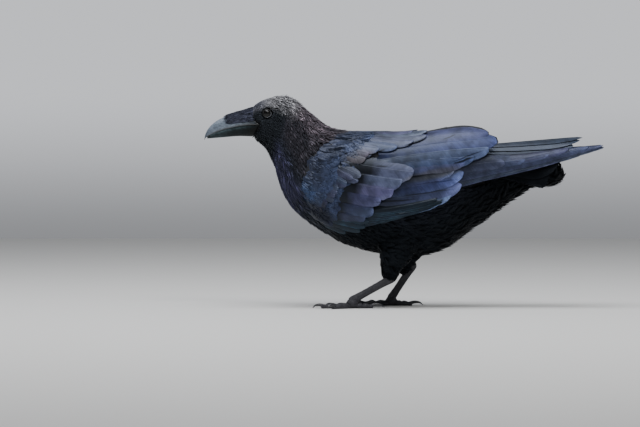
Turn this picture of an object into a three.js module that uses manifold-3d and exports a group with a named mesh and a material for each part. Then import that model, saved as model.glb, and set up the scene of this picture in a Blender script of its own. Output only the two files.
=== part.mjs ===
// A common raven (Corvus corax) at life size, standing still with folded wings.
// Millimetres, +Z up. The bill points to -X, the tail to +X, and its left side is -Y.
import * as THREE from 'three';
import { mergeVertices } from 'three/addons/utils/BufferGeometryUtils.js';
import Module from 'manifold-3d';

const wasm = await Module();
wasm.setup();

// ---- driving dimensions -------------------------------------------------------------

const gap = 0.3;               // clearance between neighbouring pieces
const sliver = 0.05;           // a clean cut leaves no edge shorter than this
const bodySides = 20;          // facets round the head, neck and trunk
const bodyPower = 0.92;        // 1 is an ellipse, less is squarer
const neckStart = 4.7;         // where the head ends, counted in body sections
const trunkStart = 7.4;        // where the neck ends, counted in body sections

// Sections of the body from the bill's root to the vent: the highest and the lowest point of
// each in the middle plane [x, z], its half width, and how high up the widest place lies.
const bodySections = [
  { top: [-214, 278], bottom: [-217, 239.5], wide: 13, middle: 0.5 },
  { top: [-205, 286], bottom: [-208, 235], wide: 18.5, middle: 0.52 },
  { top: [-191, 292.5], bottom: [-197, 227.5], wide: 23, middle: 0.5 },
  { top: [-175, 295.5], bottom: [-189, 217], wide: 26, middle: 0.46 },
  { top: [-158, 294], bottom: [-182, 199], wide: 28.5, middle: 0.45 },
  { top: [-141, 282], bottom: [-176, 176], wide: 32, middle: 0.45 },
  { top: [-124, 268], bottom: [-168, 155], wide: 38, middle: 0.42 },
  { top: [-106, 254], bottom: [-156, 137], wide: 46, middle: 0.42 },
  { top: [-82, 248.5], bottom: [-133, 117], wide: 52, middle: 0.45 },
  { top: [-52, 247], bottom: [-92, 91.5], wide: 55, middle: 0.46 },
  { top: [-18, 245], bottom: [-42, 76], wide: 56, middle: 0.46 },
  { top: [22, 242], bottom: [14, 71], wide: 55, middle: 0.48 },
  { top: [54, 238], bottom: [54, 82], wide: 49, middle: 0.5 },
  { top: [84, 231], bottom: [88, 107], wide: 39, middle: 0.52 },
  { top: [112, 224], bottom: [118, 128], wide: 29, middle: 0.55 },
];

// The mandibles from the root to the tip: x, upper edge, lower edge and half width.
const upperBillSections = [
  [-208, 275, 254.5, 11.5], [-222, 274, 254, 11], [-238, 271, 251.5, 9.8],
  [-252, 265.8, 248, 8.2], [-262, 260.7, 244.6, 6.6], [-269.5, 254.8, 241.4, 5],
  [-275, 248.2, 238.6, 3.3], [-278.3, 241.3, 235.8, 1.9], [-279.5, 235.2, 233.4, 0.8],
];
const lowerBillSections = [
  [-208, 254, 238.5, 10.6], [-222, 253.5, 239.5, 9.9], [-238, 251, 238.8, 8.4],
  [-252, 247.5, 237.6, 6.7], [-262, 244.1, 236.8, 5.1], [-269.5, 240.9, 236.2, 3.5],
  [-275.4, 237.9, 235.8, 1.4],
];

const eyeRadius = 7.5;
const eyePlace = { x: -191.5, side: 15.6, z: 270.9 };

// The form that both folded wings wrap round the body: x, top, bottom and half width.
const wingForm = [
  [-167, 288, 141, 36], [-146, 281, 125, 46], [-118, 259, 102, 56], [-83, 249, 84, 62],
  [-41, 248, 73, 65], [1, 248, 69, 64], [43, 255, 83, 60], [85, 260, 118, 52],
  [120, 253, 144, 47], [148, 237, 154, 43], [190, 233, 174, 38.5], [232, 237, 196, 33],
  [281, 236, 214, 26],
];

// Edges of the wing's two feather shields, as [x, angle from the top of the wing's form],
// from the upper to the lower end.
const shoulderEdge = [[-100, 40], [-131, 68], [-150, 100], [-153, 122], [-140, 146]];
const covertEdge = [[14, 16], [12, 52], [8, 72], [-28, 92], [-54, 131]];
const secondaryEdge = [[116, 8], [131, 30], [112, 60], [79, 76], [78, 98], [54, 107]];
const covertDepth = [12, 12];  // how deep the shields reach, front and rear
const secondaryDepth = [11, 1.6];
const secondaryInset = 2;      // the step from the coverts down to the secondaries

// The tips of one wing's primaries, innermost first, as [x, z]. Each feather's vane ends a little
// short of its tip on the outer side, where the next one shows.
const primaryTips = [
  [139, 206], [167, 210], [199, 217], [230, 223], [254, 226], [271, 227.5], [280, 227.5],
  [277, 223], [253, 214.5], [216, 203],
];
const primaryRoot = { x: 46, top: 200, bottom: 160, crowd: 0.38 };
const primaryNotch = 7;        // how far the fan's edge steps back between two tips
const primaryInset = 4.2;      // how far inside the wing's form they lie
const primaryDepth = [3, 1.2];

// The tips of the tail feathers of one side, from the middle outwards, as [x, y, z].
const tailTips = [
  [251, 3.5, 239.5], [249, 11, 234], [243, 19, 225], [233, 25, 214], [221, 30, 202],
  [206, 33, 186], [199, 34, 165],
];
const tailRoot = { x: 104, halfWidth: 15, top: 227, bottom: 188 };
const tailNotch = 9;           // how far the vane's corner stays behind each tip
const tailDepth = [3, 1.3];

// The coverts that wrap the tail's root, as body sections.
const tailCovertSections = [
  { top: [112.6, 224], bottom: [118.6, 128], wide: 29, middle: 0.55 },
  { top: [138, 226], bottom: [141, 141], wide: 26, middle: 0.6 },
  { top: [160, 229], bottom: [163, 154], wide: 23, middle: 0.65 },
  { top: [182, 229], bottom: [186, 163], wide: 22, middle: 0.6 },
  { top: [202, 230], bottom: [204, 172], wide: 21, middle: 0.5 },
  { top: [219, 229], bottom: [221, 201], wide: 15, middle: 0.5 },
  { top: [230, 226], bottom: [231, 214], wide: 7, middle: 0.5 },
];

// Each leg: the thigh's plumage from the body down, the heel and the foot's joint.
const legs = [
  {
    side: 'left', y: -1, heel: [-17, 36, 42], foot: [-73, 43, 11], turn: 6,
    thigh: [
      { at: [-6, 29, 112], deep: 30, wide: 17 }, { at: [-13, 32, 82], deep: 25, wide: 17 },
      { at: [-18, 35, 56], deep: 15, wide: 12.5 }, { at: [-21, 36, 37], deep: 7.5, wide: 7 },
    ],
  },
  {
    side: 'right', y: 1, heel: [13, 33, 57], foot: [-17, 41, 11], turn: 8,
    thigh: [
      { at: [6, 28, 112], deep: 30, wide: 17 }, { at: [3, 31, 84], deep: 24, wide: 17 },
      { at: [0, 33, 64], deep: 17, wide: 13 }, { at: [2, 33, 46], deep: 8, wide: 8 },
    ],
  },
];
const shankRadii = [6, 5.3, 5.1, 5.2, 5.8];
const padRadius = 8.2;         // the ball of the foot, pressed flat on the ground
const padHeight = 6.5;
// Toes, with the heading from straight ahead (outwards is positive), length and claw.
const toes = [
  { name: 'middle', heading: 0, length: 42, radius: 4.6, claw: 13 },
  { name: 'inner', heading: -33, length: 31, radius: 4.2, claw: 12 },
  { name: 'outer', heading: 34, length: 34, radius: 4.1, claw: 11 },
  { name: 'hind', heading: 178, length: 28, radius: 4.4, claw: 17 },
];
const soleSink = 0.9;          // how much of each toe's round underside is flattened

// ---- finishes -----------------------------------------------------------------------

const plumage = new THREE.MeshStandardMaterial({ color: 0x12141c, roughness: 0.45, metalness: 0.1 });
const headPlumage = new THREE.MeshStandardMaterial({ color: 0x1b191c, roughness: 0.6, metalness: 0 });
const flightFeather = new THREE.MeshStandardMaterial({ color: 0x1a2032, roughness: 0.38, metalness: 0.15 });
const horn = new THREE.MeshStandardMaterial({ color: 0x24282c, roughness: 0.35, metalness: 0 });
const scutes = new THREE.MeshStandardMaterial({ color: 0x1c1d20, roughness: 0.55, metalness: 0 });
const eyeGloss = new THREE.MeshStandardMaterial({ color: 0x120c08, roughness: 0.05, metalness: 0 });

// ---- helpers ------------------------------------------------------------------------

const radians = THREE.MathUtils.degToRad;
const mix = THREE.MathUtils.lerp;
const powered = (value, power) => Math.sign(value) * Math.abs(value) ** power;

// A smooth curve through the values of one field, one value for each whole number.
function smooth(values, u) {
  const last = values.length - 1;
  const index = Math.min(Math.max(Math.floor(u), 0), last - 1);
  const t = u - index;
  const [p1, p2] = [values[index], values[index + 1]];
  const p0 = index > 0 ? values[index - 1] : 2 * p1 - p2;
  const p3 = index + 2 <= last ? values[index + 2] : 2 * p2 - p1;
  const [m1, m2] = [(p2 - p0) / 2, (p3 - p1) / 2];
  return (2 * t ** 3 - 3 * t ** 2 + 1) * p1 + (t ** 3 - 2 * t ** 2 + t) * m1
    + (3 * t ** 2 - 2 * t ** 3) * p2 + (t ** 3 - t ** 2) * m2;
}

// Rows whose first column rises or falls steadily are looked up by it.
function along(rows, x) {
  const rising = rows[1][0] > rows[0][0];
  let index = rows.findIndex((row) => (rising ? row[0] > x : row[0] < x)) - 1;
  if (index < 0) index = (rising ? x <= rows[0][0] : x >= rows[0][0]) ? 0 : rows.length - 2;
  const t = (x - rows[index][0]) / (rows[index + 1][0] - rows[index][0]);
  return rows[0].map((_, column) => smooth(rows.map((row) => row[column]), index + t));
}

const steps = (from, to, count) =>
  Array.from({ length: count + 1 }, (_, index) => mix(from, to, index / count));

function meshFrom(points, faces) {
  const geometry = new THREE.BufferGeometry();
  const numbers = points.flatMap((point) => [point.x, point.y, point.z]);
  geometry.setAttribute('position', new THREE.Float32BufferAttribute(numbers, 3));
  let volume = 0;
  for (const [a, b, c] of faces) {
    volume += points[a].dot(new THREE.Vector3().crossVectors(points[b], points[c]));
  }
  const outward = volume > 0 ? faces : faces.map(([a, b, c]) => [a, c, b]);
  geometry.setIndex(outward.flat());
  return geometry;
}

// A closed solid from rings of equal length, with a fan over each end.
function fromRings(rings) {
  const count = rings[0].length;
  const points = rings.flat();
  const faces = [];
  for (let row = 0; row < rings.length - 1; row += 1) {
    for (let column = 0; column < count; column += 1) {
      const next = (column + 1) % count;
      const [a, b] = [row * count + column, row * count + next];
      faces.push([a, b, b + count], [a, b + count, a + count]);
    }
  }
  for (const [row, turn] of [[0, false], [rings.length - 1, true]]) {
    const centre = rings[row].reduce((sum, point) => sum.add(point), new THREE.Vector3());
    points.push(centre.divideScalar(count));
    for (let column = 0; column < count; column += 1) {
      const pair = [row * count + column, row * count + (column + 1) % count];
      if (!turn) pair.reverse();
      faces.push([points.length - 1, ...pair]);
    }
  }
  return meshFrom(points, faces);
}

// A closed plate between two grids of points: outer(u, v) and inner(u, v), each from 0 to 1.
function plate(outer, inner, across, down) {
  const grid = (place) => steps(0, 1, across).flatMap((u) => steps(0, 1, down).map((v) => place(u, v)));
  const points = [...grid(outer), ...grid(inner)];
  const row = down + 1;
  const under = points.length / 2;
  const faces = [];
  for (let i = 0; i < across; i += 1) {
    for (let j = 0; j < down; j += 1) {
      const a = i * row + j;
      faces.push([a, a + row, a + row + 1], [a, a + row + 1, a + 1]);
      faces.push([under + a, under + a + row + 1, under + a + row]);
      faces.push([under + a, under + a + 1, under + a + row + 1]);
    }
  }
  const rim = [];
  for (let i = 0; i < across; i += 1) rim.push(i * row);
  for (let j = 0; j < down; j += 1) rim.push(across * row + j);
  for (let i = across; i > 0; i -= 1) rim.push(i * row + down);
  for (let j = down; j > 0; j -= 1) rim.push(j);
  rim.forEach((a, index) => {
    const b = rim[(index + 1) % rim.length];
    faces.push([b, a, under + a], [b, under + a, under + b]);
  });
  return meshFrom(points, faces);
}

function solidOf(geometry) {
  const bare = geometry.clone();
  bare.deleteAttribute('normal');
  bare.deleteAttribute('uv');
  const merged = mergeVertices(bare, 1e-4);
  return new wasm.Manifold(new wasm.Mesh({
    numProp: 3,
    vertProperties: new Float32Array(merged.attributes.position.array),
    triVerts: new Uint32Array(merged.index.array),
  }));
}

// The largest of the separate shells of a mesh: offcuts and sealed pockets are dropped.
function largestShell(triangles, points) {
  const parent = points.map((_, index) => index);
  const root = (index) => {
    let top = index;
    while (parent[top] !== top) top = parent[top];
    parent[index] = top;
    return top;
  };
  for (const [a, b, c] of triangles) {
    parent[root(a)] = root(b);
    parent[root(b)] = root(c);
  }
  const shells = new Map();
  for (const triangle of triangles) {
    const key = root(triangle[0]);
    const shell = shells.get(key) ?? { volume: 0, triangles: [] };
    const [a, b, c] = triangle.map((index) => points[index]);
    shell.volume += a.dot(new THREE.Vector3().crossVectors(b, c));
    shell.triangles.push(triangle);
    shells.set(key, shell);
  }
  return [...shells.values()].sort((one, other) => other.volume - one.volume)[0].triangles;
}

function geometryOf(solid) {
  const { vertProperties, triVerts } = solid.getMesh();
  const points = steps(0, vertProperties.length / 3 - 1, vertProperties.length / 3 - 1)
    .map((index) => new THREE.Vector3().fromArray(vertProperties, 3 * Math.round(index)));
  const triangles = [];
  for (let i = 0; i < triVerts.length; i += 3) triangles.push(Array.from(triVerts.slice(i, i + 3)));
  const geometry = new THREE.BufferGeometry();
  geometry.setAttribute('position', new THREE.BufferAttribute(new Float32Array(vertProperties), 3));
  geometry.setIndex(largestShell(triangles, points).flat());
  return mergeVertices(geometry, 1e-4);
}

const join = (...pieces) =>
  geometryOf(pieces.map(solidOf).reduce((whole, piece) => whole.add(piece)));
const rest = (piece, tools) =>
  tools.map(solidOf).reduce((whole, tool) => whole.subtract(tool), solidOf(piece));
const cut = (piece, ...tools) => geometryOf(rest(piece, tools));
const cleanCut = (piece, ...tools) => geometryOf(rest(piece, tools).asOriginal().simplify(sliver));

function mirrored(geometry) {
  const copy = geometry.clone().scale(1, -1, 1);
  const index = Array.from(copy.index.array);
  for (let i = 0; i < index.length; i += 3) [index[i + 1], index[i + 2]] = [index[i + 2], index[i + 1]];
  copy.setIndex(index);
  return copy;
}

// Everything below the ground is pressed flat on it.
function soled(geometry) {
  const place = geometry.attributes.position;
  for (let i = 0; i < place.count; i += 1) place.setZ(i, Math.max(place.getZ(i), 0));
  return geometry;
}

// ---- head, neck and trunk -----------------------------------------------------------

function bodyRing(sections, u, grow) {
  const value = (pick) => smooth(sections.map(pick), u);
  const top = new THREE.Vector2(value((s) => s.top[0]), value((s) => s.top[1]));
  const bottom = new THREE.Vector2(value((s) => s.bottom[0]), value((s) => s.bottom[1]));
  const middle = value((s) => s.middle);
  const up = top.clone().sub(bottom);
  const height = up.length();
  up.divideScalar(height);
  const centre = bottom.clone().addScaledVector(up, height * middle);
  return steps(0, 360, bodySides).slice(0, -1).map((degrees) => {
    const [sine, cosine] = [Math.sin(radians(degrees)), Math.cos(radians(degrees))];
    const reach = (cosine > 0 ? height * (1 - middle) : height * middle) + grow;
    const rise = reach * powered(cosine, bodyPower);
    const y = (value((s) => s.wide) + grow) * powered(sine, bodyPower);
    return new THREE.Vector3(centre.x + up.x * rise, y, centre.y + up.y * rise);
  });
}

function bodyLength(places, grow = 0, sections = bodySections) {
  return fromRings(places.map((u) => bodyRing(sections, u, grow)));
}

// ---- bill and eyes ------------------------------------------------------------------

// One mandible: a round arch standing on its flat cutting edge.
function mandible(sections, isUpper, grow = 0) {
  const arch = steps(-90, 90, 8);
  return fromRings(steps(0, sections.length - 1, 12).map((u) => {
    const [x, top, bottom, wide] = sections[0].map((_, column) => smooth(sections.map((s) => s[column]), u));
    const end = x - (u > sections.length - 1.01 ? grow : 0);
    const [base, crown] = isUpper ? [bottom - grow, top + grow] : [top + grow, bottom - grow];
    return arch.map((degrees) => new THREE.Vector3(
      end,
      (wide + grow) * powered(Math.sin(radians(degrees)), 0.85),
      mix(base, crown, Math.cos(radians(degrees)) ** 0.8),
    ));
  }));
}

function eyeball(side, grow = 0) {
  return new THREE.SphereGeometry(eyeRadius + grow, 10, 7)
    .rotateX(Math.PI / 2)
    .translate(eyePlace.x, eyePlace.side * side, eyePlace.z);
}

// ---- wings --------------------------------------------------------------------------

// A point of the left wing's form, sunk towards the body's axis by the inset.
function wingPoint(x, degrees, inset) {
  const [, top, bottom, wide] = along(wingForm, x);
  const [sine, cosine] = [Math.sin(radians(degrees)), Math.cos(radians(degrees))];
  const half = (top - bottom) / 2 - inset;
  return new THREE.Vector3(
    x,
    -(wide - inset) * powered(sine, bodyPower),
    (top + bottom) / 2 + half * powered(cosine, bodyPower),
  );
}

// The same surface looked up by its height.
function wingPointAt(x, z, inset) {
  const [, top, bottom, wide] = along(wingForm, x);
  const half = (top - bottom) / 2 - inset;
  const level = THREE.MathUtils.clamp((z - (top + bottom) / 2) / half, -1, 1);
  const degrees = THREE.MathUtils.radToDeg(Math.acos(powered(level, 1 / bodyPower)));
  return wingPoint(x, degrees, inset);
}

const onEdge = (edge, v) => [0, 1].map((column) => smooth(edge.map((p) => p[column]), v * (edge.length - 1)));

// A shield of feathers between two edges of the wing, rounded where it leaves the body.
function wingShield(front, rear, insets, depths, rolled, across, down, grow = 0) {
  const place = (u, v, extra) => {
    const [a, b] = [onEdge(front, v), onEdge(rear, v)];
    const nearFront = rolled * Math.max(0, 1 - u / 0.2) ** 2;
    const nearLow = rolled * Math.max(0, (v - 0.82) / 0.18) ** 2;
    const x = mix(a[0] - grow, b[0] + grow, u);
    return wingPoint(x, mix(a[1], b[1], u), insets + nearFront + nearLow + extra);
  };
  return plate(
    (u, v) => place(u, v, -grow),
    (u, v) => place(u, v, mix(depths[0], depths[1], u) + grow),
    across,
    down,
  );
}

// The rear edge of a fan of feathers: every tip, then a notch before the next one.
function tipEdge(tips, notched) {
  return tips.flatMap((tip, index) => (index + 1 < tips.length
    ? [tip, notched(tip.map((value, axis) => Math.min(value, mix(value, tips[index + 1][axis], 0.5))))]
    : [tip]));
}

// The primaries, folded to one fan on the inside of the wing's form.
function primaryFan(grow = 0) {
  // The quills crowd together below, so that none crosses the next one before its tip.
  const rootHeight = (v) => mix(primaryRoot.top, primaryRoot.bottom, v ** primaryRoot.crowd);
  const heightAt = (index, x) => {
    const [tipX, tipZ] = primaryTips[index];
    const root = rootHeight(index / (primaryTips.length - 1));
    return mix(root, tipZ, (x - primaryRoot.x) / (tipX - primaryRoot.x));
  };
  const edge = primaryTips.flatMap(([x, z], index) => {
    if (index + 1 === primaryTips.length) return [[x, z]];
    const back = Math.min(x, mix(x, primaryTips[index + 1][0], 0.5)) - primaryNotch;
    return [[x, z], [back, mix(heightAt(index, back), heightAt(index + 1, back), 0.5)]];
  });
  const place = (u, v, inset) => {
    const end = edge[Math.round(v * (edge.length - 1))];
    const spread = (0.5 - v) * 2 * grow;
    const height = mix(rootHeight(v), end[1], u) + spread;
    return wingPointAt(mix(primaryRoot.x, end[0] + grow, u), height, inset);
  };
  return plate(
    (u, v) => place(u, v, primaryInset - grow),
    (u, v) => place(u, v, primaryInset + mix(...primaryDepth, u) + grow),
    4,
    edge.length - 1,
  );
}

// ---- tail ---------------------------------------------------------------------------

// All the tail feathers as one roof, from the left outermost over the ridge to the right one.
function tailFan() {
  const half = tipEdge(tailTips, ([x, y, z]) => [x - tailNotch, y, z]);
  const right = half.map((tip, index) => {
    const share = index / (half.length - 1);
    const root = new THREE.Vector3(
      tailRoot.x,
      tailRoot.halfWidth * Math.sin(share * Math.PI / 2),
      mix(tailRoot.top, tailRoot.bottom, share ** 1.4),
    );
    return { root, tip: new THREE.Vector3(...tip), share };
  });
  const flip = (point) => point.clone().multiply(new THREE.Vector3(1, -1, 1));
  const left = right.map(({ root, tip, share }) => ({ root: flip(root), tip: flip(tip), share: -share }));
  const rows = [...left.reverse(), ...right];
  const place = (u, v, depth) => {
    const { root, tip, share } = rows[Math.round(v * (rows.length - 1))];
    const slope = radians(65 * share);
    const down = new THREE.Vector3(0, -Math.sin(slope), -Math.cos(slope));
    return root.clone().lerp(tip, u).addScaledVector(down, depth * mix(...tailDepth, u));
  };
  return plate((u, v) => place(u, v, 0), (u, v) => place(u, v, 1), 3, rows.length - 1);
}

// ---- legs ---------------------------------------------------------------------------

// A limb through the given places, each with its half depth fore and aft and its half width.
function limb(places, sides, count, grow = 0) {
  const curve = new THREE.CatmullRomCurve3(places.map(({ at }) => new THREE.Vector3(...at)));
  return fromRings(steps(0, 1, count).map((share) => {
    const u = share * (places.length - 1);
    const centre = curve.getPoint(share);
    const tangent = curve.getTangent(share);
    const side = new THREE.Vector3(0, 1, 0).addScaledVector(tangent, -tangent.y).normalize();
    const fore = new THREE.Vector3().crossVectors(tangent, side);
    const deep = smooth(places.map((p) => p.deep), u) + grow;
    const wide = smooth(places.map((p) => p.wide), u) + grow;
    return steps(180 / sides, 360 + 180 / sides, sides).slice(0, -1).map((degrees) => centre.clone()
      .addScaledVector(side, wide * Math.sin(radians(degrees)))
      .addScaledVector(fore, deep * Math.cos(radians(degrees))));
  }));
}

function thigh(leg, grow = 0) {
  const places = leg.thigh.map(({ at: [x, y, z], deep, wide }) => ({ at: [x, y * leg.y, z], deep, wide }));
  return limb(places, 12, 6, grow);
}

function shank(leg, grow = 0) {
  const heel = new THREE.Vector3(leg.heel[0], leg.heel[1] * leg.y, leg.heel[2]);
  const foot = new THREE.Vector3(leg.foot[0], leg.foot[1] * leg.y, leg.foot[2]);
  const places = shankRadii.map((radius, index) => ({
    at: heel.clone().lerp(foot, index / (shankRadii.length - 1)).toArray(),
    deep: radius,
    wide: radius * 0.85,
  }));
  const pad = new THREE.SphereGeometry(padRadius + grow, 10, 6)
    .rotateX(Math.PI / 2)
    .scale(1.05, 0.95, 0.95)
    .translate(foot.x, foot.y, padHeight);
  return join(soled(limb(places, 8, 5, grow)), soled(pad));
}

// The way a toe points, as a unit vector on the ground.
function heading(leg, toe) {
  const angle = radians(180 - leg.y * (toe.heading + leg.turn));
  return new THREE.Vector3(Math.cos(angle), Math.sin(angle), 0);
}

function toeSolid(leg, toe, grow = 0) {
  const ahead = heading(leg, toe);
  const foot = new THREE.Vector3(leg.foot[0], leg.foot[1] * leg.y, 0);
  const places = [3, 0.36 * toe.length, 0.68 * toe.length, toe.length].map((reach, index) => {
    const radius = toe.radius * [1, 0.94, 0.88, 0.74][index];
    const at = foot.clone().addScaledVector(ahead, reach).setZ(radius - soleSink);
    return { at: at.toArray(), deep: radius, wide: radius };
  });
  return soled(limb(places, 8, 5, grow));
}

function clawSolid(leg, toe) {
  const ahead = heading(leg, toe);
  const foot = new THREE.Vector3(leg.foot[0], leg.foot[1] * leg.y, 0);
  const heights = [3.2, 5.2, 4.6, 1];
  const places = heights.map((height, index) => {
    const reach = toe.length - 2.5 + (toe.claw + 2.5) * [0, 0.36, 0.74, 1][index];
    const radius = [2.6, 2.2, 1.4, 0.5][index];
    const at = foot.clone().addScaledVector(ahead, reach).setZ(height);
    return { at: at.toArray(), deep: radius, wide: radius * 0.8 };
  });
  return soled(limb(places, 6, 4));
}

// ---- assembly -----------------------------------------------------------------------

const group = new THREE.Group();

function add(name, geometry, material) {
  const mesh = new THREE.Mesh(geometry, material);
  mesh.name = name;
  group.add(mesh);
}

const upperBill = mandible(upperBillSections, true);
const lowerBill = mandible(lowerBillSections, false);
const headCutters = [
  mandible(upperBillSections, true, gap),
  mandible(lowerBillSections, false, gap),
  eyeball(-1, gap),
  eyeball(1, gap),
];
const seam = 0.015;            // a cut of about the gap, counted in sections
const headPlaces = steps(0, neckStart - seam, 10);
const neckPlaces = steps(neckStart, trunkStart - seam, 5);
const trunkPlaces = steps(trunkStart, bodySections.length - 1, 12);
const tailPlaces = steps(0, tailCovertSections.length - 1, 7);
const bodyCutter = bodyLength([...headPlaces, ...neckPlaces, ...trunkPlaces], gap);
const tailCutter = bodyLength(tailPlaces, gap, tailCovertSections);

add('bill_upper', upperBill, horn);
add('bill_lower', lowerBill, horn);
for (const [side, sign] of [['left', -1], ['right', 1]]) add(`eye_${side}`, eyeball(sign), eyeGloss);
add('head', cleanCut(bodyLength(headPlaces), ...headCutters), headPlumage);
add('neck', bodyLength(neckPlaces), headPlumage);
add('trunk', bodyLength(trunkPlaces), plumage);

const covertShield = [0, gap].map((grow) =>
  wingShield(shoulderEdge, covertEdge, 0, covertDepth, 3, 6, 8, grow));
const secondaryShield = [0, gap].map((grow) =>
  wingShield(covertEdge, secondaryEdge, secondaryInset, secondaryDepth, 0, 6, 10, grow));
const wing = {
  coverts: cleanCut(covertShield[0], bodyCutter),
  secondaries: cleanCut(secondaryShield[0], bodyCutter, tailCutter, covertShield[1]),
  primaries: cleanCut(primaryFan(), bodyCutter, tailCutter, covertShield[1], secondaryShield[1]),
};
for (const [piece, geometry] of Object.entries(wing)) {
  const material = piece === 'coverts' ? plumage : flightFeather;
  add(`wing_left_${piece}`, geometry, material);
  add(`wing_right_${piece}`, mirrored(geometry), material);
}

const wingCutters = [primaryFan(gap), secondaryShield[1]].flatMap((cutter) => [cutter, mirrored(cutter)]);
const tailWhole = join(bodyLength(tailPlaces, 0, tailCovertSections), tailFan());
add('tail', cleanCut(tailWhole, bodyCutter, ...wingCutters), flightFeather);

for (const leg of legs) {
  const shankCutter = shank(leg, gap);
  add(`thigh_${leg.side}`, cleanCut(thigh(leg), bodyCutter, shankCutter), plumage);
  add(`shank_${leg.side}`, shank(leg), scutes);
  const placed = [];
  for (const toe of toes) {
    add(`toe_${leg.side}_${toe.name}`, cut(toeSolid(leg, toe), shankCutter, ...placed), scutes);
    placed.push(toeSolid(leg, toe, gap));
    add(`claw_${leg.side}_${toe.name}`, cut(clawSolid(leg, toe), toeSolid(leg, toe, gap)), horn);
  }
}

export default group;
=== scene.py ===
import math
from itertools import product

import bpy
import numpy as np
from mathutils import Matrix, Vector
from mathutils.bvhtree import BVHTree


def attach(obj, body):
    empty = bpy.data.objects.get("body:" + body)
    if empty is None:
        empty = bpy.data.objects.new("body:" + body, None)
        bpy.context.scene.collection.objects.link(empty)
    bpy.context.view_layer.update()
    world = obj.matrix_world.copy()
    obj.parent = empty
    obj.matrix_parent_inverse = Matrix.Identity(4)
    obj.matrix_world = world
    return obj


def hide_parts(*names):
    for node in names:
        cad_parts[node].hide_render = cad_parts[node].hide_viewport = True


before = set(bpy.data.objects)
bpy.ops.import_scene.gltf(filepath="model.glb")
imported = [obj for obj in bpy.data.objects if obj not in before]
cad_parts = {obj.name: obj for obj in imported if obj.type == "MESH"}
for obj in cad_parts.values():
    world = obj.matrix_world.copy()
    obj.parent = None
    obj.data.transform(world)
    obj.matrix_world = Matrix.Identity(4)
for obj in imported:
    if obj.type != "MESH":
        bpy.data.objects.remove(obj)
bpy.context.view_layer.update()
mm = 0.001
patchSize = 0.003  # of a feather's patch in the unwrapped map
metre = 1000  # in millimetres
fullTurn = 2 * math.pi
bothSides = ((-1, "left"), (1, "right"))
dice = np.random.default_rng(11)


def curve(values, place):  # a smooth curve through evenly spaced values
    values = np.asarray(values, float)
    last = len(values) - 1
    place = np.clip(np.asarray(place, float), 0, last)
    index = np.minimum(place.astype(int), last - 1)
    t = place - index
    padded = np.concatenate([[2 * values[0] - values[1]], values, [2 * values[-1] - values[-2]]])
    before, start, end, after = (padded[index + k] for k in range(4))
    m1, m2 = (end - before) / 2, (after - start) / 2
    return ((2 * t**3 - 3 * t**2 + 1) * start + (t**3 - 2 * t**2 + t) * m1
            + (3 * t**2 - 2 * t**3) * end + (t**3 - t**2) * m2)


def curves(rows, place):  # one curve for each column of rows
    return [curve(column, place) for column in np.asarray(rows, float).T]


def spreadOf(rows, count):  # evenly counted places along a line of given ones
    return np.stack(curves(rows, np.linspace(0, len(rows) - 1, count)), 1)


def powered(value, power):
    return np.sign(value) * np.abs(value) ** power


def ease(low, high, value):  # 0 at low, 1 at high, smooth between
    t = np.clip((np.asarray(value, float) - low) / (high - low), 0, 1)
    return t * t * (3 - 2 * t)


def unit(vectors):
    return vectors / np.maximum(np.linalg.norm(vectors, axis=-1, keepdims=True), 1e-12)


class Wire:  # a socket that takes part in sums
    def __init__(self, paint, socket):
        self.paint, self.socket = paint, socket

    def sum(self, operation, other):
        return self.paint.node("Math", {"operation": operation}, [self, other])

    def __add__(self, other):
        return self.sum("ADD", other)

    def __sub__(self, other):
        return self.sum("SUBTRACT", other)

    def __mul__(self, other):
        return self.sum("MULTIPLY", other)

    __radd__ = __add__
    __rmul__ = __mul__


class Paint:
    def __init__(self, name, home=bpy.data.materials, surface="Principled BSDF", **constants):
        self.made = home.new(name)
        self.made.use_nodes = True
        self.tree = self.made.node_tree
        self.surface = self.tree.nodes[surface]
        for socket, value in constants.items():
            self.surface.inputs[socket.replace("_", " ")].default_value = value

    def node(self, kind, settings, inputs=(), output=0):
        made = self.tree.nodes.new("ShaderNode" + kind)
        for key, value in settings.items():
            setattr(made, key, value)
        for key, value in inputs.items() if isinstance(inputs, dict) else enumerate(inputs):
            if isinstance(value, Wire):
                self.tree.links.new(value.socket, made.inputs[key])
            else:
                made.inputs[key].default_value = value
        return Wire(self, made.outputs[output])

    def blend(self, factor, first, second, mode="MIX"):
        settings = {"data_type": "RGBA", "blend_type": mode}
        return self.node("Mix", settings, {0: factor, 6: first, 7: second}, output=2)

    def noise(self, place, scale, detail=3.0):
        return self.node("TexNoise", {}, {"Vector": place, "Scale": scale, "Detail": detail})

    def range(self, value, low, high, newLow=0.0, newHigh=1.0):
        inputs = [value, low, high, newLow, newHigh]
        return self.node("MapRange", {"interpolation_type": "SMOOTHSTEP"}, inputs)

    def place(self):
        return self.node("NewGeometry", {}, output="Position")

    def vector(self, *parts):
        return self.node("CombineXYZ", {}, parts)

    def parts(self, vector):
        split = self.node("SeparateXYZ", {}, [vector])
        return [Wire(self, output) for output in split.socket.node.outputs]

    def vane(self):  # place across and along, in metres from the middle of the root
        return self.parts(self.node("UVMap", {"uv_map": "vane"}))

    def tone(self, output="Color"):
        return self.node("Attribute", {"attribute_name": "tone"}, output=output)

    def shaded(self, colour, shade):
        return self.blend(1.0, colour, self.vector(shade, shade, shade), "MULTIPLY")

    def feed(self, **wires):
        for socket, wire in wires.items():
            self.tree.links.new(wire.socket, self.surface.inputs[socket.replace("_", " ")])

    def bumps(self, height, distance, strength):
        inputs = {"Height": height, "Distance": distance, "Strength": strength}
        self.feed(Normal=self.node("Bump", {}, inputs))
        return self


def linked(name, data):
    made = bpy.data.objects.new(name, data)
    bpy.context.scene.collection.objects.link(made)
    return made


def read(items, key, wide=1, kind=float):
    values = np.empty(len(items) * wide, kind)
    items.foreach_get(key, values)
    return values.reshape(-1, wide)


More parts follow.
